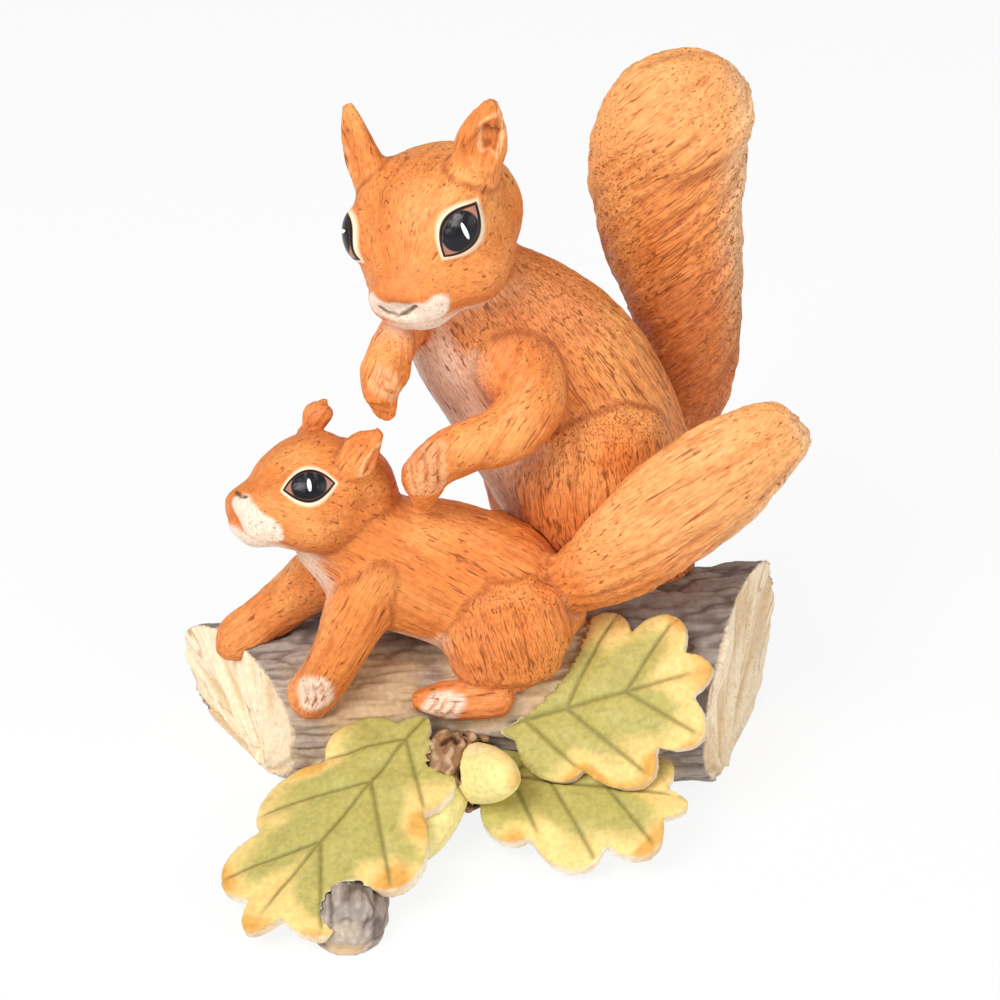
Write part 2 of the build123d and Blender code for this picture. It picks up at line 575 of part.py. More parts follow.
HOSTS = {
    "log_base": (),
    "branch_leg": ("log_base",),
    "front_acorn_nut": (),
    "front_acorn_cup": ("log_base", "front_acorn_nut"),
    "rear_acorn_nut": ("log_base", "front_acorn_cup", "front_acorn_nut"),
    "rear_acorn_cup": ("log_base", "rear_acorn_nut", "front_acorn_cup", "front_acorn_nut"),
    "oak_leaf_left": ("log_base", "branch_leg", "front_acorn_cup", "front_acorn_nut"),
    "oak_leaf_right_upper": ("log_base", "rear_acorn_cup", "rear_acorn_nut", "young_torso", "young_thigh_left"),
    "oak_leaf_right_lower": (
        "log_base", "oak_leaf_right_upper", "front_acorn_cup", "front_acorn_nut", "rear_acorn_cup", "rear_acorn_nut",
    ),
    "adult_torso": ("log_base",),
    "young_torso": ("log_base", "adult_torso"),
    "adult_head": ("adult_torso",),
    "adult_tail": ("adult_torso", "log_base"),
    "adult_ear_left": ("adult_head",),
    "adult_ear_right": ("adult_head",),
    "adult_arm_left": ("adult_torso", "young_torso"),
    "adult_arm_right": ("adult_torso", "adult_head"),
    "adult_thigh_left": ("adult_torso", "log_base", "young_torso"),
    "adult_thigh_right": ("adult_torso", "log_base", "young_torso"),
    "adult_foot_left": ("adult_torso", "adult_thigh_left", "log_base", "young_torso"),
    "adult_foot_right": ("adult_torso", "adult_thigh_right", "log_base", "young_torso"),
    "young_head": ("young_torso",),
    "young_tail": ("young_torso", "adult_torso", "adult_thigh_left", "log_base", "young_thigh_left"),
    "young_ear_left": ("young_head",),
    "young_ear_right": ("young_head",),
    "young_foreleg_left": ("young_torso", "young_head", "log_base"),
    "young_foreleg_right": ("young_torso", "young_head", "log_base"),
    "young_thigh_left": ("young_torso", "log_base", "adult_thigh_left"),
    "young_thigh_right": ("young_torso", "log_base", "adult_torso", "adult_thigh_left", "adult_foot_left"),
    "young_foot_left": ("young_torso", "young_thigh_left", "log_base"),
    "young_foot_right": ("young_torso", "young_thigh_right", "log_base", "adult_foot_left"),
}
HOLLOW = ("log_base", "adult_torso", "adult_head", "adult_tail", "young_torso", "young_tail")

# Pegs: piece, where its peg starts, the piece that takes it, where it ends, radius
PEGS = (
    ("branch_leg", branch.at(0.30), "log_base", branch.at(-0.10), PEG),
    ("oak_leaf_left", left_leaf.at(0.50), "branch_leg", branch.at(0.66), FINE_PEG),
    ("oak_leaf_right_upper", upper_leaf.at(0.50), "log_base", log.at(0.70, 0.20, 0.60), FINE_PEG),
    ("oak_leaf_right_lower", lower_leaf.at(0.55, 0.16), "log_base", log.at(0.70, -0.40, 0.60), FINE_PEG),
    ("adult_torso", adult.at(0.20), "log_base", log.at(0.695, 0.25, -0.40), STOUT_PEG),
    ("adult_head", adult_head.at(0.35, 0.40), "adult_torso", adult.at(0.92), STOUT_PEG),
    ("adult_tail", adult_tail.at(0.15), "adult_torso", adult_tail.at(-0.02), PEG),
    ("adult_ear_left", adult_ears["left"].at(0.40), "adult_head", adult_ears["left"].at(-0.30), FINE_PEG),
    ("adult_ear_right", adult_ears["right"].at(0.40), "adult_head", adult_ears["right"].at(-0.30), FINE_PEG),
    ("adult_arm_left", adult_arm_left.at(0.38), "adult_torso", adult.at(0.75, -0.10, 0.20), PEG),
    ("adult_arm_right", adult_arm_right.at(0.30), "adult_torso", adult_arm_right.at(-0.10), FINE_PEG),
    ("adult_thigh_left", adult_thigh_left.at(0.50), "adult_torso", adult.at(0.36, 0.00, 0.30), PEG),
    ("adult_thigh_right", adult_thigh_right.at(0.50), "adult_torso", adult.at(0.34, 0.20, -0.25), PEG),
    ("adult_foot_left", adult_foot_left.at(0.60), "log_base", log.at(0.61, 0.55, -0.32), FINE_PEG),
    ("adult_foot_right", adult_foot_right.at(0.60), "log_base", log.at(0.52, 0.50, -0.45), FINE_PEG),
    ("young_torso", young.at(0.20), "log_base", log.at(0.58, 0.45, 0.30), STOUT_PEG),
    ("young_head", young_head.at(0.35, 0.30), "young_torso", young.at(0.90), PEG),
    ("young_tail", young_tail.at(0.25), "young_torso", young_tail.at(0.02), PEG),
    ("young_ear_left", young_ears["left"].at(0.40), "young_head", young_ears["left"].at(-0.35), FINE_PEG),
    ("young_ear_right", young_ears["right"].at(0.40), "young_head", young_ears["right"].at(-0.35), FINE_PEG),
    ("young_foreleg_left", young_foreleg_left.at(0.25), "young_torso", young.at(0.80, 0.00, 0.30), PEG),
    ("young_foreleg_right", young_foreleg_right.at(0.25), "young_torso", young.at(0.80, 0.10, -0.30), PEG),
    ("young_thigh_left", young_thigh_left.at(0.50), "young_torso", young.at(0.20, 0.10, 0.30), PEG),
    ("young_thigh_right", young_thigh_right.at(0.50), "young_torso", young.at(0.20, 0.10, -0.20), PEG),
    ("young_foot_left", young_foot_left.at(0.50), "log_base", log.at(0.47, 0.35, 0.60), FINE_PEG),
    ("young_foot_right", young_foot_right.at(0.50), "log_base", log.at(0.45, 0.60, -0.06), FINE_PEG),
)


def largest(shape):
    return max(shape.solids(), key=lambda solid: solid.volume)


def rod(start, end, radius):
    """A round peg between two points."""
    line = end - start
    return Plane(origin=start, z_dir=line) * Cylinder(radius, line.length, align=(Align.CENTER, Align.CENTER, Align.MIN))


def scooped(ear):
    """The hollow of an ear, a smaller copy moved out of its face."""
    middle = ear.at(EAR_SCOOP_LIFT_SHARE)
    out = ear.side * (ear.deep[1] * EAR_SCOOP_OUT_SHARE)
    centres = [middle + (centre - middle) * EAR_SCOOP_SHARE + out for centre in ear.centres]
    across = [size * EAR_SCOOP_SHARE for size in ear.across]
    deep = [size * EAR_SCOOP_SHARE for size in ear.deep]
    return Form(centres, across, deep, ear.side).solid()


@functools.cache
def seat(host, grow):
    """A host's body grown by the gap that its neighbours keep from it."""
    return FORMS[host].solid(grow)


def seats_cut(body, name, grow):
    for host in HOSTS[name]:
        body = largest(body - seat(host, grow))
    return body


solids = {}
for name, form in FORMS.items():
    body = seats_cut(form.solid(), name, LUTE)
    if "ear" in name.split("_"):
        body = body - scooped(form)
    if name in HOLLOW:
        body = body - seats_cut(form.solid(-WALL), name, LUTE + WALL)
    solids[name] = body

sockets = {name: [] for name in FORMS}
sockets["log_base"].append(Pos(LOG_LENGTH * VENT_ALONG_SHARE, 0, 0) * Cylinder(VENT_RADIUS, WALL * 2 + OVERRUN))
for piece, start, host, end, radius in PEGS:
    solids[piece] = solids[piece] + rod(start, end, radius)
    past = (end - start).normalized() * PEG_CLEARANCE
    sockets[host].append(rod(start, end + past, radius + PEG_CLEARANCE))

for name, body in solids.items():
    if sockets[name]:
        body = body - sockets[name]
    export_step(largest(body), "parts/" + name + ".step")
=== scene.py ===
import math

import bpy
import numpy as np
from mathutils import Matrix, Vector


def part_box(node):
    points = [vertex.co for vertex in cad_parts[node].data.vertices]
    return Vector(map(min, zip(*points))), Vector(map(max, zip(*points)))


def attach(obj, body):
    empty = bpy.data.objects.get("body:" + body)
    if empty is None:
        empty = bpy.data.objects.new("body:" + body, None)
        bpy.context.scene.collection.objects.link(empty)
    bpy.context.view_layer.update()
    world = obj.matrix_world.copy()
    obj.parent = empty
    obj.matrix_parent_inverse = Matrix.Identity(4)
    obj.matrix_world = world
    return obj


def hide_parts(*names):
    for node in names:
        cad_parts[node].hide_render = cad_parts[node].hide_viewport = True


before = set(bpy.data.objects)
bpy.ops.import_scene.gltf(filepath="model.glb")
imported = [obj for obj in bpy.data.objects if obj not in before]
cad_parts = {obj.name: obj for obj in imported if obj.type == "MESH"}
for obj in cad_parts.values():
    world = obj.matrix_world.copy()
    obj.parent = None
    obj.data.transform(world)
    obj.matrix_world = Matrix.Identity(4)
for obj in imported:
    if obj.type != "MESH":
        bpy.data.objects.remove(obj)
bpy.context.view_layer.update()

import openvdb as vdb
from mathutils import Vector

# Lengths in this script are millimetres until a mesh is made.
MM = 0.001

# The grids of distances: their steps, the room round a body, and how many coarse steps the distances reach
FINE = 0.36
COARSE = 2 * FINE
MARGIN = 5.0
BAND = 12

# Where two pieces meet, each goes on a little under the other, and its share of the paint fades out
OVERLAP = 1.2
SINK = 0.35
SHARE_REACH = 1.5

# How far a line is followed through the clay, and along the camera's sight
LEAVE_REACH = 40.0
SEARCH = 120.0

SEED = 7
NOISE_SIDE = 64
rng = np.random.default_rng(SEED)
NOISE = rng.standard_normal((NOISE_SIDE,) * 3).astype(np.float32)


# Places
def unit(way):
    return np.asarray(way, float) / np.linalg.norm(way)


def corners(node):
    """The lowest and highest corner of a node, in millimetres."""
    low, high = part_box(node)
    return np.array(low) / MM, np.array(high) / MM


def spot(node, shares):
    """A place in a node's box."""
    low, high = corners(node)
    return low + (high - low) * np.array(shares)


# Camera: the photograph's own view
ELEVATION = math.radians(30.0)
REACH = 520.0
LENS = 96.4
SENSOR = 36.0
PICTURE = 1000
AIM_SHARES = (0.534, 0.43, 1.54)
aim = spot("log_base", AIM_SHARES)
AHEAD = np.array([0, math.cos(ELEVATION), -math.sin(ELEVATION)])
RISE = np.array([0, math.sin(ELEVATION), math.cos(ELEVATION)])
RIGHT = np.array([1.0, 0, 0])
eye = aim - REACH * AHEAD


def sight(px, py):
    """The way from the camera through a place in the picture."""
    focal = LENS / SENSOR * PICTURE
    return unit(AHEAD + RIGHT * (px - PICTURE / 2) / focal + RISE * (PICTURE / 2 - py) / focal)


# Grids of distances
def node_mesh(node):
    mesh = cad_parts[node].data
    mesh.calc_loop_triangles()
    points = np.empty(len(mesh.vertices) * 3, np.float32)
    mesh.vertices.foreach_get("co", points)
    faces = np.empty(len(mesh.loop_triangles) * 3, np.int32)
    mesh.loop_triangles.foreach_get("vertices", faces)
    return points.reshape(-1, 3) / MM, faces.reshape(-1, 3)


def finer(field):
    """The field on a grid of half the step, by cubic midpoints."""
    for axis in range(3):
        field = np.moveaxis(field, axis, 0)
        out = np.empty((2 * field.shape[0] - 1,) + field.shape[1:], np.float32)
        out[::2] = field
        padded = np.concatenate([field[:1], field, field[-1:]])
        out[1::2] = (9 * (padded[1:-2] + padded[2:-1]) - padded[:-3] - padded[3:]) / 16
        field = np.moveaxis(out, 0, axis)
    return field


def sample(field, places):
    """Values of a field between its grid points."""
    places = np.clip(places, 0, np.array(field.shape[:3]) - 1.001)
    cell = places.astype(int)
    rest = places - cell
    value = 0
    for corner in np.ndindex(2, 2, 2):
        weight = np.prod(np.where(corner, rest, 1 - rest), axis=1)
        i, j, k = (cell + corner).T
        value = value + weight * field[i, j, k]
    return value


def noise(places, cell):
    """Smooth random values about zero, with features of about a cell."""
    places = places / cell
    whole = np.floor(places).astype(int)
    rest = places - whole
    rest = rest * rest * (3 - 2 * rest)
    value = np.zeros(len(places), np.float32)
    for corner in np.ndindex(2, 2, 2):
        weight = np.prod(np.where(corner, rest, 1 - rest), axis=1)
        i, j, k = ((whole + corner) % NOISE_SIDE).T
        value += weight * NOISE[i, j, k]
    return value


def streaks(places, way, cell, reach, taps=13):
    """Random values drawn out along a way, about zero and of unit spread."""
    total = 0
    for step in np.linspace(-reach, reach, taps):
        total = total + noise(places + way * step, cell)
    return total / total.std()


def step_up(value, start, end):
    share = np.clip((value - start) / (end - start), 0, 1)
    return share * share * (3 - 2 * share)


def mix(a, b, share):
    share = np.asarray(share)[:, None]
    return a * (1 - share) + np.asarray(b) * share


def soft_min(a, b, blend):
    return -blend * np.logaddexp(-a / blend, -b / blend)


def ball(middle, radii, axes=np.eye(3)):
    """The distance to an ellipsoid, near enough; the rows of axes are its own axes."""
    def form(p):
        q = [sum((p[i] - middle[i]) * axis[i] for i in range(3)) for axis in axes]
        scaled = np.sqrt(sum((c / r) ** 2 for c, r in zip(q, radii)) + 1e-9)
        slope = np.sqrt(sum((c / r ** 2) ** 2 for c, r in zip(q, radii)) + 1e-9)
        return scaled * (scaled - 1) / slope
    return form


def bar(start, end, radius):
    """The distance to a round bar between two points."""
    way = np.subtract(end, start)

    def form(p):
        along = sum((p[i] - start[i]) * way[i] for i in range(3)) / np.dot(way, way)
        along = np.clip(along, 0, 1)
        return np.sqrt(sum((p[i] - start[i] - along * way[i]) ** 2 for i in range(3))) - radius
    return form


def filled(field):
    """A field with its hollow closed."""
    outside = field > 0
    air = np.zeros(field.shape, bool)
    air[0] = outside[0]
    before = -1
    while air.sum() != before:
        before = air.sum()
        for axis in range(3):
            here = np.moveaxis(air, axis, 0)
            free = np.moveaxis(outside, axis, 0)
            for i in range(1, len(here)):
                here[i] |= here[i - 1] & free[i]
            for i in range(len(here) - 2, -1, -1):
                here[i] |= here[i + 1] & free[i]
    return np.where(outside & ~air, -COARSE * BAND, field)


class Clay:
    """The nodes of one body of clay, melted together on a grid of distances."""

    def __init__(self, nodes, melt):
        self.nodes = nodes
        boxes = [corners(node) for node in nodes]
        self.low = np.min([b[0] for b in boxes], 0) - MARGIN
        high = np.max([b[1] for b in boxes], 0) + MARGIN
        self.shape = tuple(np.ceil((high - self.low) / COARSE).astype(int) + 1)
        self.apart = {node: self.distances(node) for node in nodes}
        total = sum(np.exp(-field / melt) for field in self.apart.values())
        merged = -melt * np.log(total)
        # How deep each grid point lies in a fold where nodes melt together, which sets the painted shade
        # there
        self.fold = np.minimum.reduce(list(self.apart.values())) - merged
        self.field = finer(merged)

    def distances(self, node):
        points, faces = node_mesh(node)
        grid = vdb.FloatGrid.createLevelSetFromPolygons(
            points - self.low.astype(np.float32), triangles=faces.astype(np.uint32),
            transform=vdb.createLinearTransform(COARSE), halfWidth=BAND)
        low, high = corners(node)
        first = np.maximum(np.floor((low - self.low) / COARSE).astype(int) - BAND - 1, 0)
        last = np.minimum(np.ceil((high - self.low) / COARSE).astype(int) + BAND + 1, self.shape)
        near = np.empty(tuple(last - first), np.float32)
        grid.copyToArray(near, ijk=tuple(int(i) for i in first))
        out = np.full(self.shape, COARSE * BAND, np.float32)
        out[tuple(slice(a, b) for a, b in zip(first, last))] = filled(near)
        return out

    def slab(self, middle, reach, grid, step):
        """The part of a grid round a place, and the places of its points."""
        first = np.floor((np.subtract(middle, reach) - self.low) / step).astype(int)
        last = np.ceil((np.add(middle, reach) - self.low) / step).astype(int) + 1
        first = np.clip(first, 0, grid.shape)
        last = np.clip(last, 0, grid.shape)
        part = tuple(slice(a, b) for a, b in zip(first, last))
        lines = [self.low[i] + step * np.arange(first[i], last[i]) for i in range(3)]
        return part, np.meshgrid(*lines, indexing="ij", sparse=True)

    def add(self, node, middle, reach, form, blend):
        """Clay added to the body, as a node's own."""
        part, p = self.slab(middle, reach, self.field, FINE)
        self.field[part] = soft_min(self.field[part], form(p), blend)
        own = self.apart[node]
        part, p = self.slab(middle, reach, own, COARSE)
        own[part] = np.minimum(own[part], form(p))

    def carve(self, middle, reach, form, blend):
        part, p = self.slab(middle, reach, self.field, FINE)
        self.field[part] = -soft_min(-self.field[part], form(p), blend)

    def at(self, places):
        return sample(self.field, (places - self.low) / FINE)

    def facing(self, places, reach=0.8):
        """The outward way at some places."""
        slopes = []
        for axis in np.eye(3) * reach:
            slopes.append(self.at(places + axis) - self.at(places - axis))
        way = np.stack(slopes, 1)
        return way / np.linalg.norm(way, axis=1, keepdims=True)

    def leave(self, start, way):
        """The place where a line from inside leaves the clay."""
        line = np.array(start) + np.arange(0, LEAVE_REACH, FINE / 2)[:, None] * unit(way)
        return line[np.argmax(self.at(line) > 0)]

    def seen(self, px, py):
        """The place on the clay that the picture shows at a pixel."""
        steps = np.arange(REACH - SEARCH, REACH + SEARCH, FINE / 2)
        line = eye + steps[:, None] * sight(px, py)
        return line[np.argmax(self.at(line) < 0)]

    def shares(self, places):
        """How much each place belongs to each node, from 0 to 1."""
        near = {n: sample(f, (places - self.low) / COARSE) for n, f in self.apart.items()}
        least = np.minimum.reduce(list(near.values()))
        weights = {n: np.exp(-(f - least) / SHARE_REACH) for n, f in near.items()}
        total = sum(weights.values())
        return {n: weight / total for n, weight in weights.items()}

    def pieces(self):
        """A closed mesh for each node: its share of the clay, sunk a little under its neighbours."""
        for node in self.nodes:
            low, high = corners(node)
            first = np.floor((low - MARGIN - self.low) / COARSE).astype(int)
            last = np.ceil((high + MARGIN - self.low) / COARSE).astype(int)
            first = np.maximum(first, 0)
            last = np.minimum(last, np.array(self.shape) - 1)
            part = tuple(slice(a, b + 1) for a, b in zip(first, last))
            field = self.field[tuple(slice(2 * a, 2 * b + 1) for a, b in zip(first, last))]
            others = [self.apart[n][part] for n in self.nodes if n != node]
            if others:
                split = finer((self.apart[node][part] - np.minimum.reduce(others)) / 2)
                field = np.maximum(field + SINK * np.clip(split / OVERLAP, 0, 1), split - OVERLAP)
            grid = vdb.FloatGrid(background=FINE * BAND)
            grid.copyFromArray(np.ascontiguousarray(field))
            points, quads = grid.convertToQuads(isovalue=0.0)
            yield node, points * FINE + self.low + first * COARSE, quads[:, ::-1]


# Heads: the turn from one side of a face to the other, and how many blends clay is felt beyond its form
MIRROR = np.array([-1, 1, 1])
BLEND_REACH = 7


class Head:
    """A head's own frame: left, ahead and up from its middle, in shares of its half height."""

    def __init__(self, clay, node, turns, half):
        self.clay = clay
        self.node = node
        self.half = half
        self.origin = spot(node, (0.5, 0.5, 0.5))
        yaw, pitch, roll = (math.radians(turn) for turn in turns)
        flat = math.cos(pitch)
        self.ahead = np.array([-math.sin(yaw) * flat, -math.cos(yaw) * flat, math.sin(pitch)])
        level = unit(np.cross([0, 0, 1], self.ahead))
        self.left = level * math.cos(roll) + np.cross(self.ahead, level) * math.sin(roll)
        self.up = np.cross(self.ahead, self.left)
        self.axes = np.array([self.left, self.ahead, self.up])

    def place(self, shares):
        return self.origin + np.array(shares) * self.half @ self.axes

    def local(self, places):
        return (places - self.origin) @ self.axes.T / self.half

    def lump(self, shares, radii, blend):
        """Clay added on both sides of the face, or once on its middle line."""
        sides = (1, -1) if shares[0] else (1,)
        for way in sides:
            middle = self.place((shares[0] * way, shares[1], shares[2]))
            radius = np.array(radii) * self.half
            form = ball(middle, radius, self.axes)
            self.clay.add(self.node, middle, radius.max() + BLEND_REACH * blend, form, blend)


# The ball of an eye: how deep its middle lies, and its radii, as shares of the eye's half sizes
EYE_SINK = 0.55
EYE_RADII = (0.95, 1.05, 0.85)
EYE_BLEND = 0.5
EYE_SLOPE_REACH = 2.0


class Eye:
    """An almond eye on a head: its middle, its long way, its short way and its half sizes."""

    def __init__(self, head, middle, far, half_long, half_short):
        self.middle = middle
        self.out = head.clay.facing(middle[None], EYE_SLOPE_REACH)[0]
        self.long = unit(far - self.out * np.dot(far, self.out))
        self.short = np.cross(self.out, self.long)
        self.halves = (half_long, half_short)
        axes = np.array([self.long, self.short, self.out])
        radii = np.array([half_long, half_short, half_short]) * EYE_RADII
        form = ball(middle - self.out * half_short * EYE_SINK, radii, axes)
        head.clay.add(head.node, middle, half_long * 2, form, EYE_BLEND)

    def read(self, places):
        """Each place in the eye's own shares, and how far it is from the eye's plane."""
        q = places - self.middle
        u = q @ self.long / self.halves[0]
        v = q @ self.short / self.halves[1]
        return u, v, q @ self.out


def eyes_of(head, pixel, tilt, long_share, slim, shift_shares):
    """Both eyes, from the one that the picture shows; the far one is shifted a little."""
    middle = head.clay.seen(*pixel)
    way = RIGHT * tilt[0] - RISE * tilt[1]
    half = long_share * head.half
    made = []
    for side, shift in ((np.ones(3), np.zeros(3)), (MIRROR, np.array(shift_shares))):
        place = head.place(head.local(middle) * side + shift)
        place = head.clay.leave(head.origin, place - head.origin)
        made.append(Eye(head, place, (head.axes @ way) * side @ head.axes, half, half * slim))
    return made


# How far the hollow of an ear is carved, and how many of its depths are painted
SCOOP_REACH = 1.6
SCOOP_BLEND = 0.3
SCOOP_DEPTHS = 2


class Scoop:
    """The hollow of an ear: its middle, its axes and its half sizes."""

    def __init__(self, head, middle, way, out, halves):
        self.middle = middle
        self.halves = np.array(halves)
        long = unit(way - out * np.dot(way, out))
        self.axes = np.array([long, np.cross(out, long), out])
        head.clay.carve(middle, max(halves) * SCOOP_REACH, ball(middle, halves, self.axes), SCOOP_BLEND)

    def read(self, places):
        """How far each place is from the middle, in shares of the half sizes."""
        shares = (places - self.middle) @ self.axes.T / self.halves
        beyond = np.clip(np.abs(shares[:, 2]) - SCOOP_DEPTHS, 0, None)
        return np.hypot(shares[:, 0], shares[:, 1]) + beyond


def scoops_of(head, pixel, tilt, halves, sides):
    """The hollows of the ears, from the place and the tilt of the one that the picture shows."""
    middle = head.local(head.clay.seen(*pixel))
    way = head.axes @ (RIGHT * tilt[0] - RISE * tilt[1])
    out = head.axes @ -sight(*pixel)
    return [Scoop(head, head.place(middle * side), way * side @ head.axes, out * side @ head.axes, halves)
            for side in sides]


# Lines pressed into the clay
MOUTH_RADIUS = 0.3
TOE_RADIUS = 0.28
GROOVE_BLEND = 0.15
GROOVE_ROOM = 2.0


def groove(clay, path, radius):
    """A thin line pressed into the clay through places in the picture."""
    places = [clay.seen(*pixel) for pixel in path]
    for start, end in zip(places, places[1:]):
        reach = np.linalg.norm(end - start) / 2 + GROOVE_ROOM
        clay.carve((start + end) / 2, reach, bar(start, end, radius), GROOVE_BLEND)
    return places


class Animal:
    """One squirrel: its clay, its head, and what is sculpted on them."""

    def __init__(self, name, melt, turns, half, lumps, eye, scoop, muzzle, mouth, toes, pale_way, glint):
        self.name = name
        self.clay = Clay([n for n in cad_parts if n.startswith(name + "_")], melt)
        self.head = Head(self.clay, name + "_head", turns, half)
        for lump in lumps.values():
            self.head.lump(*lump)
        self.eyes = eyes_of(self.head, **eye)
        self.scoops = scoops_of(self.head, **scoop)
        self.muzzle = [self.clay.seen(*pixel) for pixel in muzzle]
        self.mouth = groove(self.clay, mouth, MOUTH_RADIUS)
        self.toes = [groove(self.clay, path, TOE_RADIUS) for path in toes]
        self.pale_way = unit(pale_way)
        self.glint = glint


# Lumps of a face: the middle and the radii in shares of the head's half height, and the blend
ADULT_LUMPS = {
    "crown": ((0.0, -0.44, 0.60), (0.80, 0.40, 0.34), 1.4),
    "brow": ((0.55, -0.10, 0.58), (0.42, 0.50, 0.34), 1.2),
    "eye socket": ((0.70, 0.34, 0.32), (0.32, 0.36, 0.32), 1.2),
    "cheek": ((0.56, 0.42, -0.36), (0.44, 0.44, 0.40), 1.5),
    "muzzle": ((0.0, 0.80, -0.34), (0.48, 0.36, 0.30), 1.2),
}
YOUNG_LUMPS = {
    "cheek": ((0.56, 0.30, -0.32), (0.46, 0.46, 0.42), 1.2),
    "muzzle": ((0.0, 0.85, -0.22), (0.40, 0.40, 0.30), 1.0),
}

# Places in the picture, in pixels: the near eye and the hollow of the near ear, each with the way that its
# long side runs, the middle of the white muzzle, the mouth, and the grooves between the toes
ADULT_EYE = (460, 231)
ADULT_EYE_WAY = (30, -52)
ADULT_HOLLOW = (491, 133)
ADULT_HOLLOW_WAY = (6, -50)
ADULT_MUZZLE = ((376, 306), (392, 311), (413, 313), (438, 309))
ADULT_MOUTH = ((380, 307), (388, 313), (398, 315), (408, 312), (416, 306))
ADULT_TOES = (
    ((425, 450), (426, 470), (427, 488)),
    ((438, 447), (438, 468), (438, 488)),
    ((410, 462), (412, 476), (415, 488)),
    ((381, 376), (391, 381)),
    ((377, 385), (386, 390), (396, 394)),
)
YOUNG_EYE = (309, 486)
YOUNG_EYE_WAY = (48, -7)
YOUNG_HOLLOW = (374, 460)
YOUNG_HOLLOW_WAY = (21, -28)
YOUNG_MUZZLE = ((233, 489), (240, 507), (254, 524), (270, 533))
YOUNG_MOUTH = ((236, 492), (241, 496), (246, 497))
YOUNG_TOES = (
    ((304, 686), (306, 696), (308, 704)),
    ((313, 685), (315, 695), (317, 704)),
    ((322, 685), (324, 694), (325, 701)),
    ((438, 700), (430, 711)),
    ((447, 699), (439, 713)),
    ((457, 703), (449, 715)),
)

# The turns of a head are its yaw, pitch and roll in degrees; a glint is its place along and across the eye,
# and its slant
adult = Animal(
    "adult", melt=0.9, turns=(27, -15, 18), half=14.5, lumps=ADULT_LUMPS,
    eye=dict(pixel=ADULT_EYE, tilt=ADULT_EYE_WAY, long_share=0.385, slim=0.60, shift_shares=(0, -0.10, 0)),
    scoop=dict(pixel=ADULT_HOLLOW, tilt=ADULT_HOLLOW_WAY, halves=(4.3, 1.6, 0.8), sides=(np.ones(3), MIRROR)),
    muzzle=ADULT_MUZZLE, mouth=ADULT_MOUTH, toes=ADULT_TOES,
    pale_way=(-0.85, -0.35, -0.35), glint=(0.10, -0.21, 0.38))
young = Animal(
    "young", melt=0.8, turns=(62, 10, 7), half=12.0, lumps=YOUNG_LUMPS,
    eye=dict(pixel=YOUNG_EYE, tilt=YOUNG_EYE_WAY, long_share=0.40, slim=0.62, shift_shares=(0, -0.12, -0.22)),
    scoop=dict(pixel=YOUNG_HOLLOW, tilt=YOUNG_HOLLOW_WAY, halves=(3.0, 1.0, 0.8), sides=(np.ones(3),)),
    muzzle=YOUNG_MUZZLE, mouth=YOUNG_MOUTH, toes=YOUNG_TOES,
    pale_way=(-0.85, -0.10, -0.50), glint=(0.02, 0.0, 0.0))

# The round top of the adult's tail: its place in the picture, its depth behind it and its radii
TAIL_TOP = (688, 106)
TAIL_TOP_DEPTH = 6.0
TAIL_TOP_RADII = (13.0, 6.6, 11.6)
TAIL_TOP_REACH = 24.0
TAIL_TOP_BLEND = 1.5
PICTURE_AXES = np.array([RIGHT, AHEAD, RISE])
tail_top = adult.clay.seen(*TAIL_TOP) + AHEAD * TAIL_TOP_DEPTH
tail_form = ball(tail_top, TAIL_TOP_RADII, PICTURE_AXES)
adult.clay.add("adult_tail", tail_top, TAIL_TOP_REACH, tail_form, TAIL_TOP_BLEND)

# The far ear of the young one: cut short above its place in the picture, and rounded there
FAR_EAR = (318, 414)
EAR_CUT_RISE = 7.0
EAR_CUT_RADIUS = 6.0
EAR_CUT_REACH = 10.0
EAR_CUT_BLEND = 0.5
EAR_TIP_RADII = (2.6, 1.6, 2.3)
EAR_TIP_REACH = 8.0
EAR_TIP_BLEND = 0.8
far_ear = young.clay.seen(*FAR_EAR)
ear_cut = ball(far_ear + RISE * EAR_CUT_RISE, (EAR_CUT_RADIUS,) * 3)
young.clay.carve(far_ear, EAR_CUT_REACH, ear_cut, EAR_CUT_BLEND)
ear_tip = ball(far_ear, EAR_TIP_RADII, PICTURE_AXES)
young.clay.add("young_ear_right", far_ear, EAR_TIP_REACH, ear_tip, EAR_TIP_BLEND)


# Hair: the way it lies on each node; on a head it runs back from the nose
LIE = {
    "adult_torso": (0.50, 0.15, -0.85),
    "adult_thigh_left": (0.10, 0.0, -1.0),
    "adult_thigh_right": (0.10, 0.0, -1.0),
    "adult_arm_left": (-0.55, -0.30, -0.75),
    "adult_arm_right": (-0.35, -0.30, -0.90),
    "adult_foot_left": (-1.0, 0.0, 0.0),
    "adult_foot_right": (-1.0, 0.0, 0.0),
    "adult_ear_left": (0.15, 0.0, 1.0),
    "adult_ear_right": (-0.30, 0.0, 1.0),
    "adult_tail": (0.75, 0.0, 0.62),
    "young_torso": (0.80, 0.0, -0.50),
    "young_thigh_left": (0.25, 0.0, -1.0),
    "young_thigh_right": (0.25, 0.0, -1.0),
    "young_foreleg_left": (-0.50, -0.10, -0.90),
    "young_foreleg_right": (-0.80, -0.10, -0.60),
    "young_foot_left": (-1.0, 0.0, 0.0),
    "young_foot_right": (-1.0, 0.0, 0.0),
    "young_ear_left": (0.60, 0.2, 0.8),
    "young_ear_right": (0.60, 0.2, 0.8),
    "young_tail": (0.80, 0.0, 0.60),
}
NOSE_SHARES = (0, 1.2, -0.2)

# How many times longer than wide a stroke of the brush is
STROKE = 18.0

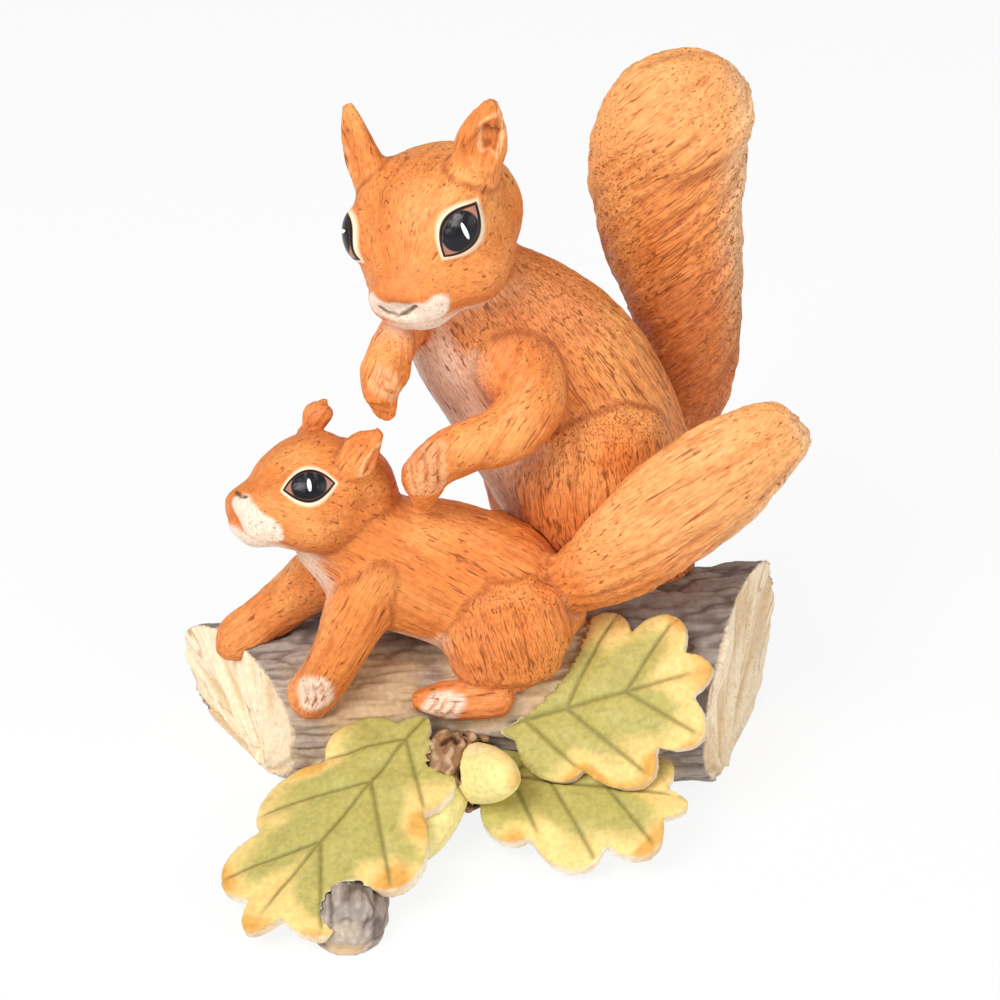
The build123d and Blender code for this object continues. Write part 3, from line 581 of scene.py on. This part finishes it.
# Colours of the fur, the pale parts and the lines
ORANGE = np.array([0.80, 0.245, 0.054])
# PALE_ORANGE is also laid on as painted light where the coat faces up, and RUST as painted shade underneath,
# on the lower head and in the folds
PALE_ORANGE = np.array([0.92, 0.37, 0.105])
RUST = np.array([0.52, 0.125, 0.024])
BROWN = np.array([0.26, 0.055, 0.010])
ROSE = np.array([0.80, 0.235, 0.085])
CREAM = np.array([0.93, 0.63, 0.35])
WHITE = np.array([0.94, 0.83, 0.68])
CHEST = np.array([0.90, 0.67, 0.51])
LIGHT = np.array([0.95, 0.47, 0.17])
SMUDGE = np.array([0.42, 0.30, 0.24])
BLACK = np.array([0.02, 0.014, 0.012])


def near_path(places, path):
    """How far each place is from a line through some places."""
    least = np.full(len(places), 1e3)
    for start, end in zip(path, path[1:]):
        way = end - start
        along = np.clip((places - start) @ way / (way @ way), 0, 1)
        least = np.minimum(least, np.linalg.norm(places - start - along[:, None] * way, axis=1))
    return least


def hair(head, places, facing, share):
    """The way the hair lies, along the surface."""
    way = np.zeros_like(places)
    nose = head.place(NOSE_SHARES)
    for node, weight in share.items():
        if node in LIE:
            lie = np.broadcast_to(unit(LIE[node]), places.shape)
        else:
            lie = (places - nose) / head.half
        way += weight[:, None] * lie
    way -= facing * np.sum(way * facing, axis=1, keepdims=True)
    return way / np.maximum(np.linalg.norm(way, axis=1, keepdims=True), 1e-6)


def combed(node, head, places):
    """Places drawn together along the hair, for strokes that are long and thin."""
    if node not in LIE:
        ray = places - head.place(NOSE_SHARES)
        far = np.linalg.norm(ray, axis=1, keepdims=True)
        return ray / far * (head.half + (far - head.half) / STROKE)
    lie = unit(LIE[node])
    return places - np.outer(places @ lie, lie) * (1 - 1 / STROKE)


def plain(value, places):
    """One colour or one way, the same at every place."""
    return np.tile(value, (len(places), 1))


def furred(animal, places):
    """The outward way, the paint and the height of the hair at places on an animal, and its eyes' shares."""
    clay = animal.clay
    head = animal.head
    facing = clay.facing(places)
    share = clay.shares(places)
    way = hair(head, places, facing, share)
    # How deep each place lies in a fold between nodes, which sets the painted shade there
    fold = np.clip(sample(clay.fold, (places - clay.low) / COARSE) / 0.6, 0, 1)
    fine = streaks(places, way, 0.55, 2.2)
    broad = streaks(places, way, 1.5, 5.0)
    patch = noise(places, 9.0)
    name = animal.name + "_"
    on_head = share[name + "head"]
    on_tail = share[name + "tail"]
    on_ear = share[name + "ear_left"] + share[name + "ear_right"]
    on_torso = share[name + "torso"]
    on_thigh = share[name + "thigh_left"] + share[name + "thigh_right"]
    is_adult = float(animal.name == "adult")
    local = head.local(places)

    # Ground coat: paler patches, with painted light where the surface faces up; rust-red painted shade where
    # it faces down, on the lower part of the head and in the folds between nodes
    paint = mix(plain(ORANGE, places), PALE_ORANGE, step_up(patch + facing[:, 2] * 0.6, -0.4, 1.2))
    paint = mix(paint, ROSE, step_up(noise(places, 14.0), 0.2, 1.2) * 0.5)
    # Painted shade: rust-red on surfaces that face down
    paint = mix(paint, RUST, 0.45 * step_up(-facing[:, 2], 0.0, 0.9))
    # Painted shade: rust-red on the lower part of the head
    paint = mix(paint, RUST, 0.45 * on_head * step_up(-local[:, 2], 0.0, 0.7))
    # Painted shade: darker rust in the folds where nodes melt together
    paint = mix(paint, RUST * 0.8, 0.75 * step_up(fold, 0.25, 0.9))

    # The tail: cream at its right edge, darker towards its root
    tail_low, tail_high = corners(name + "tail")
    rise = (places[:, 2] - tail_low[2]) / (tail_high[2] - tail_low[2])
    edge = step_up(facing[:, 0], 0.25, 0.90) * on_tail
    paint = mix(paint, LIGHT, 0.8 * on_tail * step_up(rise + 0.4 * (1 - is_adult), 0.55, 0.95))
    paint = mix(paint, CREAM, 0.85 * edge)
    paint = mix(paint, RUST * 0.8, 0.9 * is_adult * on_tail * step_up(-rise, -0.70, -0.25))

    # White throat, chest and belly with grey smudges, and a white muzzle
    pale = step_up(facing @ animal.pale_way, 0.50, 0.72) * on_torso
    paint = mix(paint, CHEST, pale)
    chin = step_up(-near_path(places, animal.muzzle) + 0.25 * noise(places, 2.0), -3.0, -2.0)
    chin = on_head * np.maximum(chin, step_up(-local[:, 2] + 0.35 * local[:, 1], 0.84, 0.98))
    paint = mix(paint, WHITE, chin)
    pale = np.maximum(pale, chin)
    paint = mix(paint, SMUDGE, 0.35 * pale * on_torso * step_up(noise(places, 3.0) + 0.5 * broad, 0.6, 1.6))

    # Lights and darks between the locks, and how close the strokes of the brush lie
    paint = mix(paint, RUST, 0.40 * step_up(-broad - 0.3 * fine, 0.5, 2.0) * (1 - pale))
    paint = mix(paint, PALE_ORANGE, 0.35 * step_up(broad + 0.3 * fine, 0.5, 2.0) * (1 - pale))
    rear = on_thigh + is_adult * (on_torso + on_tail * step_up(-rise, -0.95, -0.60))
    dense = (0.25 + 0.60 * rear) * (1 - 0.7 * pale)

    # Pale toes with rusty lines between them
    toe = np.minimum.reduce([near_path(places, path) for path in animal.toes])
    paint = mix(paint, WHITE, 0.75 * step_up(-toe, -2.6, -1.0) * (1 - is_adult))
    paint = mix(paint, CREAM, 0.40 * step_up(-toe, -2.4, -1.0) * is_adult)
    paint = mix(paint, RUST, 0.45 * step_up(-toe, -0.48, -0.20))

    # The ears: brown strokes in the hollow, a cream rim round it
    for scoop in animal.scoops:
        out = scoop.read(places)
        inside = on_ear * step_up(-out, -1.05, -0.75)
        strokes = streaks(places, plain(scoop.axes[0], places), 0.5, 3.0)
        paint = mix(paint, CREAM, 0.6 * on_ear * step_up(-np.abs(out - 1.3), -0.35, -0.05))
        paint = mix(paint, RUST, 0.55 * inside)
        paint = mix(paint, BROWN, 0.75 * inside * step_up(strokes, 0.1, 1.0))

    # The line of the mouth
    line = near_path(places, animal.mouth)
    paint = mix(paint, BLACK, 0.9 * on_head * step_up(-line, -0.55, -0.28))

    # Relief of the hairs and the locks, lower on the head and the pale parts
    depth = 0.10 + 0.08 * on_tail - 0.05 * on_head
    clump = 0.14 + 0.22 * on_tail - 0.10 * on_head
    height = (depth * np.clip(fine, -2, 2) * 0.6 + clump * np.clip(broad, -2, 2) * 0.6) * (1 - 0.5 * pale)

    # Each place in the shares of the nearest eye, and whether it is by that eye; the eyes are smooth
    look = np.zeros((len(places), 3))
    least = np.full(len(places), 1e3)
    for found in animal.eyes:
        u, v, out = found.read(places)
        near = (np.abs(u) < 2.0) & (np.abs(v) < 2.2) & (np.abs(out) < 5) & (on_head > 0.3)
        far = np.linalg.norm(places - found.middle, axis=1)
        look[far < least] = np.stack([u, v, near], 1)[far < least]
        least = np.minimum(least, far)
        calm = np.exp(-np.clip(u * u + v * v - 1.0, 0, None) * 2)
        height = np.where(near, height * (1 - calm), height)
    return facing, np.concatenate([paint, dense[:, None]], 1), height, look


# Materials
class Paint:
    """A material's nodes, with short ways to add them."""

    def __init__(self, name):
        self.material = bpy.data.materials.new(name)
        self.material.use_nodes = True
        self.tree = self.material.node_tree
        self.shader = self.tree.nodes["Principled BSDF"]

    def node(self, kind, **given):
        made = self.tree.nodes.new("ShaderNode" + kind)
        for key, value in given.items():
            setattr(made, key, value)
        return made

    def put(self, socket, value):
        if isinstance(value, bpy.types.NodeSocket):
            self.tree.links.new(value, socket)
        else:
            socket.default_value = value

    def sum(self, what, *values):
        made = self.node("Math", operation=what)
        for socket, value in zip(made.inputs, values):
            self.put(socket, value)
        return made.outputs[0]

    def ease(self, value, start, end, low=0.0, high=1.0):
        made = self.node("MapRange", interpolation_type="SMOOTHSTEP")
        for socket, given in zip(made.inputs, (value, start, end, low, high)):
            self.put(socket, given)
        return made.outputs[0]

    def mix(self, share, a, b, how="MIX"):
        made = self.node("Mix", data_type="RGBA", blend_type=how)
        self.put(made.inputs[0], share)
        self.put(made.inputs[6], (*a, 1.0) if isinstance(a, tuple) else a)
        self.put(made.inputs[7], (*b, 1.0) if isinstance(b, tuple) else b)
        return made.outputs[2]

    def blend(self, share, a, b):
        made = self.node("Mix", data_type="FLOAT")
        for socket, value in zip((made.inputs[0], made.inputs[2], made.inputs[3]), (share, a, b)):
            self.put(socket, value)
        return made.outputs[0]

    def cloud(self, scale, detail=2.0, roughness=0.5, where=None):
        made = self.node("TexNoise")
        self.put(made.inputs["Vector"], where or self.node("TexCoord").outputs["Object"])
        made.inputs["Scale"].default_value = scale
        made.inputs["Detail"].default_value = detail
        made.inputs["Roughness"].default_value = roughness
        return made.outputs["Fac"]

    def read(self, name):
        return self.node("Attribute", attribute_name=name)

    def finish(self, colour, roughness, grain, strength):
        self.put(self.shader.inputs["Base Color"], colour)
        self.put(self.shader.inputs["Roughness"], roughness)
        bump = self.node("Bump")
        bump.inputs["Strength"].default_value = strength
        bump.inputs["Distance"].default_value = 0.2 * MM
        self.shader.inputs["Specular IOR Level"].default_value = 0.25
        self.put(bump.inputs["Height"], grain)
        self.put(self.shader.inputs["Normal"], bump.outputs[0])


# Colours of the glaze's specks and of the eyes, and sizes in shares of an eye
SPECK = (0.30, 0.12, 0.05)
RIM_CREAM = (0.93, 0.76, 0.54)
LASH = (0.025, 0.012, 0.010)
EYE_CORNER = (0.42, 0.19, 0.125)
PUPIL = (0.012, 0.011, 0.013)
PUPIL_GLOW = (0.22, 0.22, 0.24)
GLINT = (0.98, 0.97, 0.95)
PUPIL_LONG = 0.70
GLINT_HALVES = (0.085, 0.42)
EYE_ROUGHNESS = 0.12
GRAIN_STRENGTH = 0.35


def brushed(p, coat, colour, grain):
    """Strokes of a fine and a bold brush along the hair, closer where the coat's alpha is high."""
    comb = p.read("comb").outputs["Vector"]
    hairs = p.cloud(3.2, 2.0, 0.6, comb)
    lines = p.cloud(0.85, 1.0, 0.4, comb)
    breaks = p.cloud(1.6, 1.0, 0.5, comb)
    start = p.sum("SUBTRACT", 0.73, p.sum("MULTIPLY", coat.outputs["Alpha"], 0.16))
    thin = p.ease(hairs, p.sum("SUBTRACT", start, 0.06), p.sum("ADD", start, 0.03))
    ridge = p.ease(p.sum("ABSOLUTE", p.sum("SUBTRACT", lines, 0.5)), 0.040, 0.012)
    few = p.sum("SUBTRACT", 0.60, p.sum("MULTIPLY", coat.outputs["Alpha"], 0.20))
    bold = p.sum("MULTIPLY", ridge, p.ease(breaks, few, p.sum("ADD", few, 0.07)))
    colour = p.mix(p.ease(hairs, 0.45, 0.65, 0.0, 0.40), colour, tuple(RUST))
    colour = p.mix(p.ease(hairs, 0.45, 0.28, 0.0, 0.30), colour, tuple(PALE_ORANGE))
    colour = p.mix(p.sum("MULTIPLY", thin, 0.50), colour, tuple(BROWN * 1.3))
    colour = p.mix(p.sum("MULTIPLY", bold, 0.75), colour, tuple(BROWN))
    grain = p.sum("ADD", p.sum("MULTIPLY", grain, 0.3), p.sum("MULTIPLY", hairs, -1.2))
    return colour, grain


def eyed(p, colour, roughness, glint):
    """Almond eyes, glazed: a cream rim, a dark lash line, a brown corner, a black pupil and a glint."""
    look = p.read("look")
    parts = p.node("SeparateXYZ")
    p.put(parts.inputs[0], look.outputs["Vector"])
    u, v, there = parts.outputs
    lid = p.sum("ABSOLUTE", v)
    brim = p.sum("SUBTRACT", 1.0, p.sum("MULTIPLY", u, u))
    gap = p.sum("SUBTRACT", lid, brim)
    ring = p.ease(gap, 0.46, 0.14)
    colour = p.mix(p.sum("MULTIPLY", ring, there), colour, RIM_CREAM)
    inside = p.sum("MULTIPLY", p.ease(gap, 0.10, 0.04), there)
    colour = p.mix(inside, colour, LASH)
    corner = p.sum("MULTIPLY", p.ease(gap, -0.10, -0.16), there)
    colour = p.mix(corner, colour, EYE_CORNER)
    du = p.sum("DIVIDE", u, PUPIL_LONG)
    pupil = p.sum("ADD", p.sum("MULTIPLY", du, du), p.sum("MULTIPLY", v, v))
    dark = p.sum("MULTIPLY", p.ease(pupil, 1.06, 0.92), corner)
    colour = p.mix(dark, colour, PUPIL)
    glow = p.sum("MULTIPLY", p.ease(p.cloud(700.0), 0.45, 0.75), p.ease(v, 0.1, 0.8))
    colour = p.mix(p.sum("MULTIPLY", dark, p.sum("MULTIPLY", glow, 0.5)), colour, PUPIL_GLOW)
    glint_along, glint_across, slant = glint
    across = p.sum("SUBTRACT", v, glint_across)
    along = p.sum("SUBTRACT", p.sum("SUBTRACT", u, glint_along), p.sum("MULTIPLY", across, slant))
    su = p.sum("DIVIDE", along, GLINT_HALVES[0])
    sv = p.sum("DIVIDE", across, GLINT_HALVES[1])
    spark = p.sum("ADD", p.sum("MULTIPLY", su, su), p.sum("MULTIPLY", sv, sv))
    colour = p.mix(p.sum("MULTIPLY", p.ease(spark, 1.1, 0.8), there), colour, GLINT)
    return colour, p.blend(inside, roughness, EYE_ROUGHNESS)


def bisque(name, furry=False, glint=None):
    """Painted matt porcelain; fur has brush strokes, and a face has eyes with a glint in them."""
    p = Paint(name)
    coat = p.read("paint")
    colour = coat.outputs["Color"]
    grain = p.cloud(1500.0, 3.0)
    if furry:
        colour, grain = brushed(p, coat, colour, grain)
    tint = p.ease(p.cloud(900.0, 3.0), 0.3, 0.7, 0.88, 1.06)
    colour = p.mix(1.0, colour, tint, "MULTIPLY")
    specks = p.ease(p.cloud(2600.0, 1.0), 0.70, 0.78, 0.0, 0.35)
    colour = p.mix(specks, colour, SPECK)
    roughness = p.ease(p.cloud(400.0), 0.3, 0.7, 0.42, 0.58)
    if glint:
        colour, roughness = eyed(p, colour, roughness, glint)
    p.finish(colour, roughness, grain, GRAIN_STRENGTH)
    return p.material


def make(node, points, quads, paint, material, extra=()):
    """A painted piece in the place of a node, with more values at its points for the material to read."""
    mesh = bpy.data.meshes.new(node)
    mesh.from_pydata((points * MM).tolist(), [], quads.tolist())
    mesh.shade_smooth()
    mesh.materials.append(material)
    colour = mesh.attributes.new("paint", "FLOAT_COLOR", "POINT")
    if paint.shape[1] == 3:
        paint = np.concatenate([paint, np.ones((len(paint), 1))], 1)
    colour.data.foreach_set("color", paint.astype(np.float32).ravel())
    for name, values in extra:
        held = mesh.attributes.new(name, "FLOAT_VECTOR", "POINT")
        held.data.foreach_set("vector", values.astype(np.float32).ravel())
    piece = bpy.data.objects.new("painted_" + node, mesh)
    bpy.context.scene.collection.objects.link(piece)
    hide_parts(node)
    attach(piece, "root")
    return piece


fur = bisque("fur", True)
for animal in (adult, young):
    face = bisque(animal.name + "_face", True, animal.glint)
    for node, points, quads in animal.clay.pieces():
        facing, paint, height, look = furred(animal, points)
        comb = combed(node, animal.head, points)
        points = points + facing * height[:, None]
        if node.endswith("head"):
            make(node, points, quads, paint, face, [("comb", comb), ("look", look)])
        else:
            make(node, points, quads, paint, fur, [("comb", comb)])


# Wood: furrowed bark, broken ends
BARK = np.array([0.36, 0.295, 0.258])
BARK_PALE = np.array([0.58, 0.50, 0.44])
BARK_DARK = np.array([0.13, 0.088, 0.066])
HEARTWOOD = np.array([0.95, 0.78, 0.54])
TAN = np.array([0.55, 0.31, 0.13])
SAND = np.array([0.74, 0.50, 0.26])

# The way the bark runs, and the middle of the log's ends and of the fan of splinters on them
LOG_LIE = (1.0, 0.0, 0.06)
BRANCH_LIE = (0.02, -1.0, -0.1)
END_SHARES = (0.5, 0.35)
FAN_SHARES = (0.3, 0.0)
SOLE = 1.0
WOOD_MELT = 0.6
wood = Clay(["log_base", "branch_leg"], WOOD_MELT)
log_low, log_high = corners("log_base")
log_size = log_high - log_low


def wooden(clay, places):
    """The outward way, the paint and the height of the bark at places on the log and the branch."""
    facing = clay.facing(places)
    share = clay.shares(places)
    on_branch = share["branch_leg"]
    lie = mix(plain(unit(LOG_LIE), places), unit(BRANCH_LIE), on_branch)
    along = (places - log_low) / log_size
    end = step_up(np.abs(facing[:, 0]), 0.55, 0.8) * (1 - on_branch)
    end = np.maximum(end, on_branch * step_up(-facing[:, 1], 0.7, 0.9))
    spread = places - log_low - log_size * np.array([0, *END_SHARES])
    spread[:, 0] = 0
    spread /= np.maximum(np.linalg.norm(spread, axis=1, keepdims=True), 1e-6)
    way = mix(lie, np.zeros(3), end) + spread * end[:, None]
    plates = streaks(places, way, 2.1, 7.0)
    fine = streaks(places, way, 0.7, 3.5)
    patch = noise(places, 8.0)
    furrow = step_up(np.abs(plates), 0.75, 0.05)
    height = 0.55 * np.clip(np.abs(plates), 0, 1.6) - 0.45 + 0.14 * np.clip(fine, -2, 2)
    heart = log_low[1:] + log_size[1:] * np.array(FAN_SHARES)
    turn = np.arctan2(places[:, 2] - heart[1], places[:, 1] - heart[0])
    far = np.hypot(places[:, 2] - heart[1], places[:, 1] - heart[0])
    broad = noise(np.stack([turn * 4.0, far * 0.06, places[:, 0] * 0.04], 1), 1.0)
    thin = noise(np.stack([turn * 14.0, far * 0.10, places[:, 0] * 0.04], 1), 1.0)
    fan = broad + 0.5 * thin
    ragged = 0.75 * np.clip(fan, -1.5, 1.5)
    height = height * (1 - end) + ragged * end
    height = np.where(places[:, 2] < SOLE, 0, height)

    paint = mix(plain(BARK, places), BARK_PALE, step_up(patch * 0.5 + fine * 0.4, 0.0, 1.3))
    paint = mix(paint, BARK_DARK, 0.75 * furrow * (1 - end))
    paint = mix(paint, BARK_DARK, 0.45 * step_up(fine, 1.0, 2.0) * (1 - end))
    paint = mix(paint, HEARTWOOD, end * (1 - 0.85 * on_branch))
    paint = mix(paint, SAND, end * 0.8 * step_up(-fan, 0.0, 0.9))
    crack = step_up(-np.abs(thin - 0.3), -0.16, -0.02) * step_up(noise(places, 5.0), -0.4, 0.6)
    paint = mix(paint, TAN, end * 0.75 * crack)
    rim = step_up(np.abs(facing[:, 0]), 0.30, 0.55) * (1 - end) * (1 - on_branch)
    paint = mix(paint, HEARTWOOD, 0.5 * rim)
    bare = step_up(-facing[:, 1], 0.1, 0.5) * step_up(np.abs(along[:, 0] - 0.5), 0.36, 0.22)
    paint = mix(paint, SAND, 0.75 * bare * (1 - on_branch) * step_up(patch, -1.0, 0.3))
    return facing, paint, height


# Leaves: the way from stem to tip and the way the top faces
LEAVES = {
    "oak_leaf_left": ((-0.57, -0.77, -0.28), (-0.12, -0.30, 0.95)),
    "oak_leaf_right_upper": ((0.926, -0.074, 0.368), (-0.33, -0.62, 0.71)),
    "oak_leaf_right_lower": ((0.97, -0.23, 0.08), (-0.10, -0.37, 0.92)),
}
# The side veins: foot and tip along the leaf, and tip across it, as shares of the leaf
LOBE_SHARES = ((0.12, 0.32, 0.37), (0.32, 0.62, 0.50), (0.60, 0.89, 0.36))
GREEN = np.array([0.50, 0.44, 0.125])
YELLOW = np.array([0.92, 0.66, 0.24])
AMBER = np.array([0.72, 0.33, 0.045])
VEIN = np.array([0.17, 0.15, 0.03])
IVORY = np.array([0.95, 0.90, 0.76])


def leafy(clay, places, line, out):
    """The outward way, the paint and the height of the veins at places on a leaf."""
    facing = clay.facing(places)
    line = unit(line)
    out = unit(np.subtract(out, line * np.dot(out, line)))
    across = np.cross(out, line)
    s = places @ line
    t = places @ across
    length = s.max() - s.min()
    width = t.max() - t.min()
    flat = np.stack([s - s.min(), t - (t.max() + t.min()) / 2], 1)
    veins = [((0.0, 0.0), (0.97 * length, 0.0))]
    for foot, tip, wide in LOBE_SHARES:
        for way in (1, -1):
            veins.append(((foot * length, 0.0), (tip * length * 0.99, way * wide * width * 0.94)))
    least = np.full(len(places), 1e3)
    drawn = 0
    pull = 0
    for start, end in veins:
        way = np.subtract(end, start)
        along = np.clip((flat - start) @ way / (way @ way), 0, 1)
        gap = np.linalg.norm(flat - start - along[:, None] * way, axis=1)
        near = np.exp(-gap / 1.6)
        drawn = drawn + near * along ** 1.5
        pull = pull + near
        least = np.minimum(least, gap)
    tipness = drawn / pull
    top = step_up(facing @ out, 0.2, 0.6)
    height = top * (0.45 * (1 - np.exp(-(least / 2.2) ** 2)) - 0.30 * np.exp(-(least / 0.5) ** 2))
    height += top * 0.30 * noise(places, 5.0)
    grain = streaks(places, plain(line, places), 0.6, 1.0)
    patch = noise(places, 4.0)
    paint = mix(plain(GREEN, places), YELLOW, step_up(tipness + 0.12 * patch, 0.35, 0.85))
    paint = mix(paint, GREEN * 0.8, 0.4 * step_up(patch, 0.3, 1.2) * (1 - tipness))
    paint = mix(paint, AMBER, 0.80 * step_up(tipness + 0.22 * noise(places, 7.0), 0.74, 1.02))
    rim = step_up(-(facing @ out), -0.75, -0.30)
    paint = mix(paint, IVORY, 0.8 * rim * (1 - 0.5 * step_up(tipness, 0.8, 1.0)))
    paint = mix(paint, VEIN, 0.75 * top * np.exp(-(least / 0.42) ** 2) * step_up(-tipness, -0.98, -0.80))
    paint = mix(paint, GREEN * 0.55, 0.3 * top * step_up(grain, 0.8, 2.0) * step_up(-tipness, -0.8, -0.3))
    return facing, paint, height


# Acorns: rough cups, smooth nuts
ACORN_LINES = {"front": (-0.30, -0.84, -0.45), "rear": (0.50, -0.75, 0.43)}
CUP = np.array([0.34, 0.185, 0.09])
CUP_DARK = np.array([0.075, 0.035, 0.015])
CUP_PALE = np.array([0.62, 0.43, 0.27])
NUT = np.array([0.93, 0.80, 0.33])
NUT_GREEN = np.array([0.70, 0.66, 0.24])


def cup_like(clay, places, line):
    """The outward way, the paint and the height of the scales at places on a cup."""
    facing = clay.facing(places)
    rough = streaks(places, plain(unit(line), places), 1.1, 1.6)
    fine = noise(places, 0.7)
    height = 0.30 * np.clip(rough, -2, 2) + 0.10 * fine
    paint = mix(plain(CUP, places), CUP_DARK, step_up(-rough, 0.2, 1.2))
    paint = mix(paint, CUP_PALE, 0.8 * step_up(rough + 0.4 * fine, 0.7, 1.7))
    return facing, paint, height


def nut_like(clay, places, line):
    """The outward way, the paint and the height of the grain at places on a nut."""
    facing = clay.facing(places)
    line = unit(line)
    along = places @ line
    along = (along - along.min()) / (along.max() - along.min())
    lines = streaks(places, plain(line, places), 0.6, 4.0)
    paint = mix(plain(NUT, places), NUT_GREEN, 0.4 * step_up(noise(places, 5.0), 0.0, 1.2))
    paint = mix(paint, NUT * 0.85, 0.3 * step_up(lines, 0.5, 1.6))
    paint = mix(paint, AMBER, 0.55 * step_up(along, 0.90, 0.99))
    # Painted light: ivory where the nut faces up, strongest near the cup
    paint = mix(paint, IVORY, 0.5 * step_up(facing[:, 2] - along, 0.2, 0.8))
    return facing, paint, 0.03 * np.clip(lines, -2, 2)


# One piece alone melts with nothing
ALONE = 0.3
bark = bisque("bark")
leaf = bisque("leaf")
shell = bisque("shell")
for node, points, quads in wood.pieces():
    facing, paint, height = wooden(wood, points)
    make(node, points + facing * height[:, None], quads, paint, bark)
for name, (line, out) in LEAVES.items():
    clay = Clay([name], ALONE)
    for node, points, quads in clay.pieces():
        facing, paint, height = leafy(clay, points, line, out)
        make(node, points + facing * height[:, None], quads, paint, leaf)
for end, line in ACORN_LINES.items():
    for kind, dress in (("cup", cup_like), ("nut", nut_like)):
        clay = Clay([end + "_acorn_" + kind], ALONE)
        for node, points, quads in clay.pieces():
            facing, paint, height = dress(clay, points, line)
            make(node, points + facing * height[:, None], quads, paint, shell)


# Camera, floor and light
camera_data = bpy.data.cameras.new("camera")
camera_data.lens = LENS
camera_data.sensor_width = SENSOR
camera = bpy.data.objects.new("camera", camera_data)
camera.location = eye * MM
camera.rotation_euler = (math.pi / 2 - ELEVATION, 0, 0)
bpy.context.scene.collection.objects.link(camera)
bpy.context.scene.camera = camera

# The floor and the lamps, in metres and watts
FLOOR_HALF = 2.0
FLOOR_GREY = (0.93, 0.93, 0.93, 1)
FLOOR_ROUGHNESS = 0.9
FLOOR_GLOW = 0.88
LAMPS = {
    "key": dict(place=(-0.40, -0.50, 0.70), size=0.5, power=7.0),
    "fill": dict(place=(0.60, -0.45, 0.45), size=0.6, power=2.3),
}
WORLD_STRENGTH = 0.4
floor_mesh = bpy.data.meshes.new("floor")
floor_mesh.from_pydata(
    [(-FLOOR_HALF, -FLOOR_HALF, 0), (FLOOR_HALF, -FLOOR_HALF, 0), (FLOOR_HALF, FLOOR_HALF, 0),
     (-FLOOR_HALF, FLOOR_HALF, 0)], [], [(0, 1, 2, 3)])
floor_paint = Paint("floor")
floor_paint.shader.inputs["Base Color"].default_value = FLOOR_GREY
floor_paint.shader.inputs["Roughness"].default_value = FLOOR_ROUGHNESS
path = floor_paint.node("LightPath")
direct = floor_paint.sum("MAXIMUM", path.outputs["Is Camera Ray"], path.outputs["Is Glossy Ray"])
direct = floor_paint.sum("MAXIMUM", direct, path.outputs["Is Transmission Ray"])
glow = floor_paint.node("Emission")
both = floor_paint.node("MixShader")
floor_paint.put(both.inputs[0], floor_paint.sum("MULTIPLY", direct, FLOOR_GLOW))
floor_paint.put(both.inputs[1], floor_paint.shader.outputs[0])
floor_paint.put(both.inputs[2], glow.outputs[0])
floor_paint.put(floor_paint.tree.nodes["Material Output"].inputs["Surface"], both.outputs[0])
floor_mesh.materials.append(floor_paint.material)
floor = bpy.data.objects.new("floor", floor_mesh)
bpy.context.scene.collection.objects.link(floor)


def lamp(name, place, size, power):
    data = bpy.data.lights.new(name, "AREA")
    data.size = size
    data.energy = power
    made = bpy.data.objects.new(name, data)
    made.location = place
    made.rotation_euler = (Vector(aim * MM) - Vector(place)).to_track_quat("-Z", "Y").to_euler()
    bpy.context.scene.collection.objects.link(made)


for name, given in LAMPS.items():
    lamp(name, **given)
world = bpy.data.worlds.new("world")
bpy.context.scene.world = world
world.use_nodes = True
world.node_tree.nodes["Background"].inputs["Color"].default_value = (1, 1, 1, 1)
world.node_tree.nodes["Background"].inputs["Strength"].default_value = WORLD_STRENGTH
bpy.context.scene.view_settings.view_transform = "Standard"
